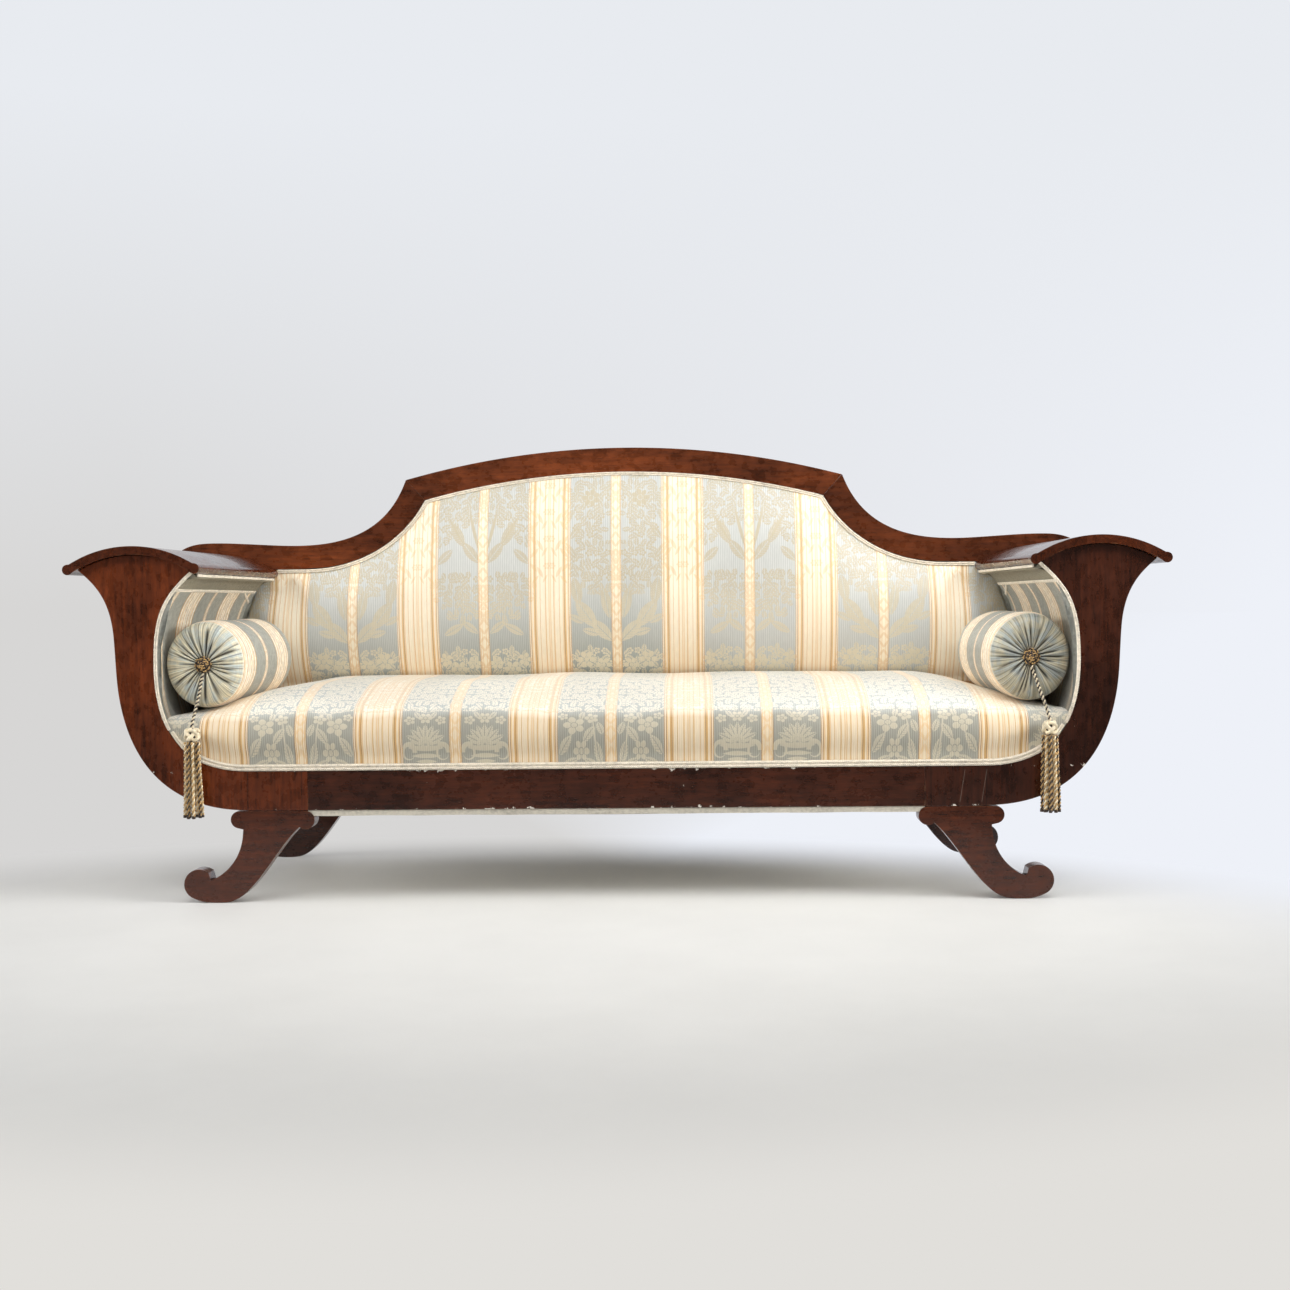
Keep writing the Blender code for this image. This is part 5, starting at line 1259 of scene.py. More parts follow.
def twisted_cord(name, length, diameter, turns, cuts):
    """A straight cord of two plies laid round each other, up from the origin. The second ply takes the
    second material."""
    ply = diameter / 4
    cord = start("cylinder", name, vertices=8, radius=PLY_OVERLAP * ply, depth=length)
    settle(cord, (ply, 0, length / 2))
    cut_along(cord, Z, cuts)
    faces = len(cord.data.polygons)
    finish_with(cord, "MIRROR", use_mirror_merge=False)
    indices = np.arange(len(cord.data.polygons)) >= faces
    cord.data.polygons.foreach_set("material_index", indices.astype(np.int32))
    finish_with(cord, "SIMPLE_DEFORM", deform_method="TWIST", deform_axis="Z", angle=2 * math.pi * turns)
    smooth(cord, 60)
    return cord


def smooth_route(points, spacing):
    """Points at an even spacing on a smooth curve through the route's own points."""
    route = [Vector(p) for p in points]
    ends = [2 * route[0] - route[1], *route, 2 * route[-1] - route[-2]]
    fine = []
    for a, b, c, d in zip(ends, ends[1:], ends[2:], ends[3:]):
        for t in np.linspace(0, 1, 12, endpoint=False):
            bend = 2 * a - 5 * b + 4 * c - d
            twist = -a + 3 * b - 3 * c + d
            fine.append(0.5 * (2 * b + (c - a) * t + bend * t**2 + twist * t**3))
    fine.append(route[-1])
    travelled = np.cumsum([0, *[(b - a).length for a, b in zip(fine, fine[1:])]])
    steps = np.linspace(0, travelled[-1], max(2, round(travelled[-1] / spacing) + 1))
    axes = [np.interp(steps, travelled, [p[k] for p in fine]) for k in range(3)]
    return np.stack(axes, axis=1)


def guide(points, flat=False):
    """A curve object through the points, for a Curve modifier. A flat one lies in its own XY plane."""
    curve = bpy.data.curves.new("guide", "CURVE")
    curve.dimensions = "2D" if flat else "3D"
    spline = curve.splines.new("POLY")
    spline.points.add(len(points) - 1)
    for point, place in zip(spline.points, points):
        point.co = (*place, 1) if not flat else (*place, 0, 1)
    item = bpy.data.objects.new("guide", curve)
    bpy.context.scene.collection.objects.link(item)
    return item


def run_length(points):
    """Length of a line of points."""
    return float(np.linalg.norm(np.diff(np.asarray(points), axis=0), axis=1).sum())


def follow(piece, points, axis, flat=False):
    """Bends a straight piece along a line of points."""
    path = guide(points, flat)
    finish_with(piece, "CURVE", object=path, deform_axis=axis)
    bpy.data.objects.remove(path, do_unlink=True)
    return piece


class SOFA_OT_tassels(bpy.types.Operator):
    """Makes the tassel cords, their knots and strands, and the knotted rosettes of the bolsters"""

    bl_idname = "sofa.tassels"
    bl_label = "Tassels and rosettes"

    CORD_DIAMETER = 0.0072
    STRAND_DIAMETER = 0.0068
    STRAND_PITCH = 0.0130
    STRAND_WAVE = 0.0009
    STRAND_TRIM = 0.02  # most of a strand's length that is cut off
    OUTER_RING = (0.62, 0.80)  # shares of the tassel's half width at its top and foot
    INNER_RING = (0.22, 0.34)
    INNER_STRANDS = 4
    BOUND_END = 0.006
    BOUND_SHARE = 0.56  # radius of a bound end as a share of the strand's diameter
    BOUND_ROUND = 0.0012
    KNOT_CORD = 0.0078
    KNOT_CORE = 0.0110
    KNOT_RADIUS = 0.0118
    KNOT_RISE = 0.0024
    ROSETTE_CORD = 0.0062
    # A ring of the rosette: radius and its swing, height and its fall outwards, and rise over other passes
    ROSETTE_RING = (0.0105, 0.0052, 0.0062, 0.0016, 0.0016)
    ROSETTE_HEART = (0.0042, 0.0026, 0.0098, 0.0012, 0.0014)
    HEART_SHARE = 0.8
    KNOT_CUTS = (19, 14)
    CORD_CUTS = (11, 9)
    STRAND_CUTS = (11, 14)

    def plaited(self, name, radius_along, turns, bights, diameter, pitch, materials):
        """A cord plaited round and round into a closed knot. radius_along gives a point from the angle
        round it, the swing from -1 to 1 and the rise over other passes. A pitch of 0 makes a plain cord."""
        angles = np.linspace(0, 2 * math.pi * turns, 90 * turns)
        swing = np.cos(angles * bights / turns)
        over = np.sin(2 * angles * bights / turns)
        points = np.stack([radius_along(a, s, o) for a, s, o in zip(angles, swing, over)])
        length = run_length(points)
        if pitch:
            cord = twisted_cord(name, length, diameter, length / pitch, self.KNOT_CUTS)
        else:
            cord = start("cylinder", name, vertices=10, radius=diameter / 2, depth=length)
            settle(cord, (0, 0, length / 2))
            cut_along(cord, Z, self.KNOT_CUTS)
            smooth(cord, 60)
        for material in materials:
            cord.data.materials.append(material)
        return follow(cord, points, "POS_Z")

    def rosette(self, name, middle, seat, ahead, pitch, materials):
        """A flat knot of cord, domed towards its middle, with a small knot at its heart."""

        def ring(radius, radius_swing, height, fall, rise):
            def place(angle, swing, over):
                out = radius + radius_swing * swing
                forward = ahead * (height - fall * swing + rise * over)
                return (middle.x + out * math.cos(angle), seat + forward, middle.z + out * math.sin(angle))

            return place

        thin = self.HEART_SHARE * self.ROSETTE_CORD
        outer = self.plaited(name, ring(*self.ROSETTE_RING), 3, 8, self.ROSETTE_CORD, pitch, materials)
        heart = self.plaited(name + "_heart", ring(*self.ROSETTE_HEART), 3, 4, thin, pitch, materials)
        return joined([outer, heart], name)

    def knot(self, name, place, low, high, materials):
        """A Turk's head knot round the head of the tassel."""
        centre = (low + high) / 2
        reach = (high - low) / 2 - self.KNOT_CORD / 2

        def barrel(angle, swing, over):
            radius = self.KNOT_RADIUS * math.sqrt(1 - 0.5 * swing * swing) + self.KNOT_RISE * over
            out = (radius * math.cos(angle), radius * math.sin(angle))
            return (place.x + out[0], place.y + out[1], centre + reach * swing)

        core = start("uv_sphere", name + "_core", segments=24, ring_count=16, radius=self.KNOT_CORE)
        settle(core, (place.x, place.y, centre))
        core.data.materials.append(materials[1])
        smooth(core)
        plait = self.plaited(name, barrel, 3, 4, self.KNOT_CORD, 0, materials)
        return joined([plait, core], name)

    def tassel(self, name, low, high, count, chance, materials):
        """Strands of twisted cord hanging from the knot in an outer and an inner ring. Every other strand
        twists gold with dark, and the rest gold with pale."""
        middle = (low + high) / 2
        length = high.z - low.z
        reach = (high.x - low.x) / 2
        thick = self.STRAND_DIAMETER
        model = twisted_cord(name, length, thick, length / self.STRAND_PITCH, self.STRAND_CUTS)
        radius = self.BOUND_SHARE * thick
        bound = start("cylinder", "bound_end", vertices=10, radius=radius, depth=self.BOUND_END)
        with editing(bound):
            bpy.ops.mesh.bevel(offset=self.BOUND_ROUND, segments=2)
        settle(bound, (0, 0, self.BOUND_END / 2))
        smooth(bound, 40)
        indices = np.full(len(bound.data.polygons), 2, np.int32)
        bound.data.polygons.foreach_set("material_index", indices)
        for part in (model, bound):
            for material in materials:
                part.data.materials.append(material)
        model = joined([model, bound], name + "_strand")
        made = []
        for strands, ring in ((count, self.OUTER_RING), (self.INNER_STRANDS, self.INNER_RING)):
            top, foot = [share * reach for share in ring]
            for k in range(strands):
                angle = 2 * math.pi * (k + 0.3 * chance.random()) / strands
                out = Vector((math.cos(angle), math.sin(angle), 0))
                strand = duplicate(model)
                if k % 2:
                    plies = np.empty(len(strand.data.polygons), np.int32)
                    strand.data.polygons.foreach_get("material_index", plies)
                    plies[plies == 0] = 2
                    strand.data.polygons.foreach_set("material_index", plies)
                points = points_of(strand)
                up = points[:, 2:3] / length
                spread = foot + (top - foot) * smoothstep(up)
                wave = self.STRAND_WAVE * np.sin(5 * up + 6 * chance.random())
                shrink = 1 - self.STRAND_TRIM * chance.random()
                points[:, :2] += np.array(out.xy)[None] * (spread + wave)
                points[:, 2] = high.z - (length - points[:, 2]) * shrink
                points[:, 0] += middle.x
                points[:, 1] += middle.y
                move_points(strand, points)
                made.append(strand)
        bpy.data.objects.remove(model, do_unlink=True)
        return joined(made, name)

    def execute(self, context):
        sizes = context.scene.sofa_sizes
        colours = context.scene.sofa_colours
        pale = spun_silk("pale_spun_silk", colours.pale_silk)
        gold = spun_silk("gold_spun_silk", colours.gold_silk)
        dark = spun_silk("dark_spun_silk", colours.dark_silk)
        chance = random.Random(7)
        for (word, side), column in zip(SIDES, (2, 3)):
            body = f"{word}_bolster"
            middle = Vector((side * BOLSTER_MIDDLE.x, 0, BOLSTER_MIDDLE.z))
            outs = [side * (BOLSTER_MIDDLE.x + row[column]) for row in CORD_ROUTE]
            places = [(out, FRONT_Y + row[0], row[1]) for out, row in zip(outs, CORD_ROUTE)]
            path = smooth_route(places, self.CORD_DIAMETER / 3)
            length = run_length(path)
            turns = length / sizes.cord_pitch
            cord = twisted_cord(f"{word}_cord", length, self.CORD_DIAMETER, turns, self.CORD_CUTS)
            follow(cord, path, "POS_Z")
            hand_over(cord, body, "tassel_silk", (pale, dark), f"{word}_tassel_cord")

            low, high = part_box(f"{word}_tassel_knot")
            knot = self.knot(f"{word}_knot", (low + high) / 2, low.z, high.z, (pale, dark))
            hand_over(knot, body, "tassel_silk", (), f"{word}_tassel_knot")

            low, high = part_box(f"{word}_tassel")
            silks = (pale, gold, dark)
            tassel = self.tassel(f"{word}_strands", low, high, sizes.strands, chance, silks)
            hand_over(tassel, body, "tassel_silk", (), f"{word}_tassel")
            for end, ahead in (("front", -1), ("rear", 1)):
                low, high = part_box(f"{word}_{end}_rosette")
                seat = high.y if ahead < 0 else low.y
                name = f"{word}_{end}_knot"
                rosette = self.rosette(name, middle, seat, ahead, sizes.cord_pitch, (gold, dark))
                hand_over(rosette, body, "tassel_silk", (), f"{word}_{end}_rosette")
        return {"FINISHED"}


class SOFA_OT_woodwork(bpy.types.Operator):
    """Rounds and polishes the mahogany boards and legs, and finishes the hidden frame"""

    bl_idname = "sofa.woodwork"
    bl_label = "Woodwork"

    SEAMS = (0.657, 0.771)  # where two leaves of the rail's veneer meet
    MITRE_ROUND = 0.0004  # edges of the crest's mitred boards
    SHARP = 35.0  # degrees between faces past which an edge stays sharp
    BEVEL_ANGLE = 0.6
    BEECH = (
        "back_seat_rail", "back_stay_rail", "seat_brace", "arm_upper_rail",
        "arm_lower_rail", "back_stile", "seat_end_rail", "rear_block",
    )

    def board(self, node, material, edge_round):
        """A board or leg of the frame with smoothed curves and rounded edges."""
        piece = copy_of(node, f"{node}_polished")
        with editing(piece):
            bpy.ops.mesh.quads_convert_to_tris(ngon_method="BEAUTY")
            bpy.ops.mesh.select_all(action="DESELECT")
            bpy.ops.mesh.edges_select_sharp(sharpness=math.radians(self.SHARP))
            bpy.ops.transform.edge_crease(value=1)
        finish_with(piece, "SUBSURF", levels=2, render_levels=2)
        smooth(piece, 30)
        limits = {"limit_method": "ANGLE", "angle_limit": self.BEVEL_ANGLE, "harden_normals": True}
        finish_with(piece, "BEVEL", width=edge_round, segments=3, **limits)
        hand_over(piece, "frame", "mahogany", (material,), node)

    def execute(self, context):
        sizes = context.scene.sofa_sizes
        colours = context.scene.sofa_colours
        crest = polished_mahogany("mahogany_crest", colours.crest, X)
        # Painted shade: the rear legs take the rail's darker polish, for the shade under the sofa
        shaded_rear_legs = polished_mahogany("mahogany_rear_legs_painted_shade", colours.rail, X)
        arms = polished_mahogany("mahogany_arms", tint(colours.arms, 0.58), X)
        boards = polished_mahogany("mahogany_boards", tint(colours.arms, 0.46), Y)
        rail = polished_mahogany("mahogany_rail", colours.rail, X, knocked=True)
        self.board("crest_rail", crest, self.MITRE_ROUND)
        self.board("front_rail", rail, sizes.edge_round)
        # Painted shade: darker polish on the right arm's front and on both shoulders, most on the right
        for word, front, shoulder_shade_tone in (
            ("left", colours.arms, tint(colours.crest, 0.88)),
            ("right", tint(colours.rail, 0.84), tint(colours.crest, 0.62)),
        ):
            shoulder = polished_mahogany(f"mahogany_{word}_shoulder", shoulder_shade_tone, X)
            self.board(f"{word}_crest_shoulder", shoulder, self.MITRE_ROUND)
            upright = polished_mahogany(f"mahogany_{word}_arm", front, Z, self.SEAMS, knocked=True)
            for name, material in (
                ("arm_top", boards),
                ("rear_leg", shaded_rear_legs),
                ("arm_front", upright),
                ("back_post", arms),
                ("front_leg", arms),
            ):
                self.board(f"{word}_{name}", material, sizes.edge_round)
        beech = sawn_beech("sawn_beech")
        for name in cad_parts:
            if name in self.BEECH or name.split("_", 1)[1] in self.BEECH:
                dress_node(name, beech)
        return {"FINISHED"}


class SOFA_OT_seat(bpy.types.Operator):
    """Makes the sprung seat's damask cover, crowned and pulled down over the front rail"""

    bl_idname = "sofa.seat"
    bl_label = "Seat"

    CELLS = ((13, 11), (49,), (11,))
    EDGE_RISE = 0.115  # seat rail's top to the seat's front edge
    EDGE_DROP = 0.010
    EDGE_DEPTH = 0.022
    EDGE_CROWN = 0.22
    CROWN = 0.056
    END_SLOPE = 0.272
    FRONT_SLOPE = 0.190
    BULGE = 0.012
    SWELL = 0.035
    BACK_LEAN = 0.022
    CANVAS_RISE = 0.070
    CANVAS_HALF = 0.77
    CANVAS_INSET = 0.012
    CANVAS_SLOPE = 0.1
    CANVAS_GAP = 0.003
    FRAME_GAP = 0.0012
    PAD_THICKNESS = 0.006
    BRAID_WIDTH = 0.014
    WAVE = 0.0085  # unevenness of the stuffing, and its length
    WAVE_LENGTH = 0.22
    PUCKERS = ((0.016, 5, 0.6), (0.034, 8, 0.8))  # length, seed and strength
    PUCKER_OUT = 0.0016
    PUCKER_UP = 0.0011
    PUCKER_REACH = 0.02
    ROUNDED_DEPTH = 0.05  # part of the front edge that is smoothed
    ROUNDED_RISE = 0.075
    TOP_SHARE = 0.6  # share of the height above which the cover turns into the top
    HELD = (0.01, 0.03, 0.3)  # shares of the width, depth and height over which the edges stay held
    PRESSURE = 3.0

    def top(self, x, y):
        """Height of the crowned top, which falls towards the arms and the front."""
        end = inner_x(RAIL_TOP + self.EDGE_RISE)
        across = smoothstep((end - np.abs(x)) / self.END_SLOPE)
        share = np.clip((y - FRONT_Y) / self.FRONT_SLOPE, 0, 1)
        along = self.EDGE_CROWN + (1 - self.EDGE_CROWN) * np.sin(share * math.pi / 2) ** 0.8
        drop = self.EDGE_DROP * (1 - smoothstep((y - FRONT_Y) / self.EDGE_DEPTH))
        return RAIL_TOP + self.EDGE_RISE + self.CROWN * across * along - drop

    def bottom(self, x, y):
        """Height of the underside, which lies on the springs' canvas and, at the ends, on the frame."""
        end = inner_x(RAIL_TOP + self.EDGE_RISE) - self.PAD_THICKNESS
        edges = [self.CANVAS_HALF - np.abs(x), y - FRONT_Y - self.CANVAS_INSET, SEAT_BACK_Y - y]
        slope = np.clip(np.minimum.reduce(edges) / self.CANVAS_SLOPE, 0, 1)
        canvas = RAIL_TOP + self.CANVAS_GAP + self.CANVAS_RISE * np.sin(slope * math.pi / 2)
        return np.maximum(canvas, inner_z(np.minimum(np.abs(x), end)) + self.FRAME_GAP)

    def execute(self, context):
        sizes = context.scene.sofa_sizes
        seat = start("cube", "seat_cover", size=1)
        for axis, passes in enumerate(self.CELLS):
            cut_along(seat, axis, passes)
        shares = points_of(seat) + 0.5
        half = inner_x(RAIL_TOP + self.EDGE_RISE) - self.PAD_THICKNESS
        x = (2 * shares[:, 0] - 1) * half
        y = FRONT_Y + shares[:, 1] * (SEAT_BACK_Y - FRONT_Y)
        low = self.bottom(x, y)
        high = self.top(x, y)
        z = low + shares[:, 2] * (high - low)
        near_top = smoothstep((shares[:, 2] - self.TOP_SHARE) / (1 - self.TOP_SHARE))
        rim = np.concatenate([np.linspace((0, RAIL_TOP), INNER_FOOT[0], 160), INNER_EDGE])
        clear = distance_to(rim, np.abs(x), z) - 2 * self.BRAID_WIDTH
        bulge = self.BULGE * smoothstep(clear / self.SWELL) * (1 - 0.9 * near_top)
        y = np.where(shares[:, 1] == 0, y - bulge, y)
        lean = self.BACK_LEAN * smoothstep(1 - (SEAT_BACK_Y - y) / (4 * self.BACK_LEAN)) * near_top
        y = y - lean
        points = np.stack([x, y, z], axis=1)
        flat = points * (1, 1, 0)
        inward = smoothstep((half - np.abs(x)) / 0.2)
        points[:, 2] += self.WAVE * wander(flat, self.WAVE_LENGTH, 3) * near_top * inward
        line = points * (1, 0, 0)
        pucker = sum(strength * wander(line, length, seed) for length, seed, strength in self.PUCKERS)
        near_edge = np.exp(-(((y - FRONT_Y) / self.PUCKER_REACH) ** 2))
        near_edge *= smoothstep((shares[:, 2] - 0.45) / 0.3)
        points[:, 1] -= self.PUCKER_OUT * pucker * near_edge
        points[:, 2] += self.PUCKER_UP * pucker * near_edge
        move_points(seat, points)
        with editing(seat):
            bpy.ops.mesh.select_all(action="DESELECT")
            mesh = bmesh.from_edit_mesh(seat.data)
            for vertex in mesh.verts:
                near = vertex.co.y < FRONT_Y + self.ROUNDED_DEPTH
                vertex.select_set(near and vertex.co.z > RAIL_TOP + self.ROUNDED_RISE)
            bmesh.update_edit_mesh(seat.data)
            bpy.ops.mesh.vertices_smooth(factor=0.5, repeat=2)
        held_x, held_y, held_z = self.HELD
        free = (shares[:, 2] == 1) & (shares[:, 1] > held_y) & (shares[:, 1] < 1 - held_y)
        free |= (shares[:, 1] == 0) & (shares[:, 2] > held_z)
        free &= np.abs(shares[:, 0] - 0.5) < 0.5 - held_x
        plump(seat, ~free, self.PRESSURE, sizes.seat_swell)
        finish_with(seat, "SUBSURF", levels=1, render_levels=1)
        smooth(seat)
        material = striped_damask("seat_damask", SEAT_STRIPE, SEAT_SPRAY, SEAT_PALMETTE)
        hand_over(seat, "frame", "damask", (material,), "seat_cushion")
        return {"FINISHED"}


class SOFA_OT_back(bpy.types.Operator):
    """Makes the crowned damask pad of the back"""

    bl_idname = "sofa.back"
    bl_label = "Back"

    CELLS = ((13, 11), (1,), (43,))
    CROWN = 0.050
    CROWN_SLOPE = 0.150
    BRAID_EDGE = 0.0102
    BRAID_WIDTH = 0.009
    GAP = 0.0006
    COLUMN_COUNTS = (44, 26, 7, 7)
    LUMP = 0.0022
    LUMP_LENGTH = 0.11
    SEWN_DEPTH = 0.006  # the cover is held where the pad stands out less than this
    PRESSURE = 2.5

    def columns(self):
        """Stations from end to end, with one at each corner of the crest."""
        end = inner_x(BACK_LOW.z) - self.GAP
        stations = (0, CREST_INNER_HALF, ARM_MIDDLE - SHOULDER_INSET, ARM_MIDDLE - POST_TOP_INSET, end)
        half = [0.0]
        for low, high, count in zip(stations, stations[1:], self.COLUMN_COUNTS):
            half.extend(np.linspace(low, high, count + 1)[1:])
        return np.array([-x for x in reversed(half[1:])] + half)

    def top(self, x):
        """Top edge of the pad: under the crest, then along the post's inner edge."""
        post = np.concatenate([INNER_TOP, [(ARM_MIDDLE - POST_TOP_INSET, SHOULDER_UNDERSIDE)]])[::-1]
        along_post = np.interp(x, post[:, 0], post[:, 1], left=CREST_HIGH.z)
        return np.minimum(np.interp(x, CREST_LINE[:, 0], CREST_LINE[:, 1]), along_post) - self.GAP

    def depth(self, x, z):
        """How far the pad stands out, from its distance to its edges."""
        from_crest = distance_to(CREST_LINE, x, z) - self.BRAID_EDGE
        beside = np.hypot(x - ROLL_X, z - ROLL_HEIGHT) - ROLL_RADIUS
        reach = np.clip(x, ROLL_X, ARM_MIDDLE)
        below = np.minimum(board_arc(reach, BOARD_THICKNESS), ROLL_HEIGHT - ROLL_RADIUS) - z
        from_board = np.where(x < ROLL_X, beside, below) - 4 * self.BRAID_WIDTH
        from_sides = np.minimum(inner_x(z) - x, z - BACK_LOW.z) - self.BRAID_WIDTH
        edge = np.clip(np.minimum.reduce([from_crest, from_board, from_sides]), 0, None)
        share = np.clip(edge / self.CROWN_SLOPE, 0, 1)
        return self.CROWN * (1 - (1 - share) ** 2)

    def execute(self, context):
        sizes = context.scene.sofa_sizes
        pad = start("cube", "back_cover", size=1)
        for axis, passes in enumerate(self.CELLS):
            cut_along(pad, axis, passes)
        shares = points_of(pad) + 0.5
        columns = self.columns()
        x = columns[np.rint(shares[:, 0] * (len(columns) - 1)).astype(int)]
        z = BACK_LOW.z + shares[:, 2] * (self.top(np.abs(x)) - BACK_LOW.z)
        depth = self.depth(np.abs(x), z)
        front = BACK_FRONT_Y - depth
        y = front + shares[:, 1] * (BACK_HIGH.y - front)
        points = np.stack([x, y, z], axis=1)
        lumps = self.LUMP * wander(points * (1, 0, 1), self.LUMP_LENGTH, 12) * np.clip(depth / 0.02, 0, 1)
        points[:, 1] += lumps * (1 - shares[:, 1])
        move_points(pad, points)
        free = (shares[:, 1] == 0) & (depth > self.SEWN_DEPTH)
        plump(pad, ~free, self.PRESSURE, sizes.back_swell)
        finish_with(pad, "SUBSURF", levels=1, render_levels=1, boundary_smooth="PRESERVE_CORNERS")
        smooth(pad, 60)
        bushes = (BACK_VASE_BUSHES, BACK_TREE_BUSHES)
        material = striped_damask("back_damask", BACK_STRIPE, BACK_VASE, BACK_TREE, bushes)
        hand_over(pad, "frame", "damask", (material,), "back_pad")
        return {"FINISHED"}


class SOFA_OT_arms(bpy.types.Operator):
    """Makes the silk pads and linings of the arms and the cloth of the outside, back and underside"""

    bl_idname = "sofa.arms"
    bl_label = "Arms and covers"

    ARM_STRIPE = -0.025
    TUCK = 0.018  # the arm pad's reach down behind the seat
    TUCKED_EDGE = 0.003  # height of the part of its lower edge that is moved
    EDGE_THICKNESS = 0.0012
    EDGE_GAP = 0.0003
    SLACK = 0.0012
    SLACK_LENGTH = 0.09
    CUTS = 24
    SHARP = 50.0
    THREAD = 0.0022
    JUTE_THREAD = 0.004

    def soft_copy(self, node, name):
        """A node's form in cloth, with softened edges."""
        piece = copy_of(node, name)
        cut_along(piece, Y, (self.CUTS,))
        with editing(piece):
            bpy.ops.mesh.select_all(action="DESELECT")
            bpy.ops.mesh.edges_select_sharp(sharpness=math.radians(self.SHARP))
            bpy.ops.transform.edge_crease(value=0.9)
        finish_with(piece, "SUBSURF", levels=2, render_levels=2)
        smooth(piece, self.SHARP)
        return piece

    def turned_edge(self, low):
        """The dust cloth's front edge, turned up under the rail and slack between its tacks."""
        edge = start("cube", "dust_cloth_edge", size=1)
        height = RAIL_LOW.z - low.z - self.EDGE_GAP
        middle = (0, low.y - self.EDGE_THICKNESS, low.z + height / 2)
        settle(edge, middle, scale=(2 * RAIL_HIGH.x, self.EDGE_THICKNESS, height))
        cut_along(edge, X, (99,))
        points = points_of(edge)
        slack = points[:, 2] < middle[2]
        points[slack, 2] += self.SLACK * (1 + wander(points[slack] * (1, 0, 0), self.SLACK_LENGTH, 4))
        move_points(edge, points)
        return edge

    def execute(self, context):
        colours = context.scene.sofa_colours
        silk = striped_silk("arm_silk", self.ARM_STRIPE)
        plain = woven_cloth("under_arm_cloth", linear("8f8977"), self.THREAD, 0.6)
        lining = woven_cloth("linen_lining", colours.lining, self.THREAD, 0.85)
        for word, side in SIDES:
            pad = self.soft_copy(f"{word}_arm_pad", f"{word}_arm_panel")
            points = points_of(pad)
            low = points[:, 2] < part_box(f"{word}_arm_pad")[0].z + self.TUCKED_EDGE
            lower = points[low, 2] - self.TUCK
            points[low, 0] += side * (inner_x(lower) - inner_x(points[low, 2]))
            points[low, 2] = lower
            move_points(pad, points)
            hand_over(pad, "frame", "damask", (silk,), f"{word}_arm_pad")
            for node, name, stuff in (
                ("under_arm_lining", "under_arm_cloth", plain),
                ("outside_arm_cover", "outer_arm_cloth", silk),
            ):
                cloth = self.soft_copy(f"{word}_{node}", f"{word}_{name}")
                hand_over(cloth, "frame", "damask", (stuff,), f"{word}_{node}")
                area = sum(face.area for face in cloth.data.polygons) / 2
                front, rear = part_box(f"{word}_{node}")
                flat = (rear.y - front.y, area / (rear.y - front.y))
        for node, name, rests_on in (
            ("back_outer_cover", "outer_back_cloth", "crest_rail"),
            ("bottom_lining", "dust_cloth", "front_rail"),
        ):
            cloth = copy_of(node, name)
            if node == "bottom_lining":
                cloth = joined([cloth, self.turned_edge(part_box(node)[0])], name)
            smooth(cloth, 30)
            hand_over(cloth, "frame", "lining", (lining,), node)
            area = sum(face.area for face in cloth.data.polygons) / 2
            low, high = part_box(node)
            span = high - low
            flat = (span.x, span.z) if node == "back_outer_cover" else (span.x, span.y)
            area = min(area, flat[0] * flat[1])
        jute = woven_cloth("jute_webbing", linear("a98b5d"), self.JUTE_THREAD, 0.9)
        for node in ("seat_webbing", "back_webbing", "seat_canvas"):
            dress_node(node, jute)
        dress_node("seat_springs", drawn_steel("drawn_spring_steel"))
        return {"FINISHED"}


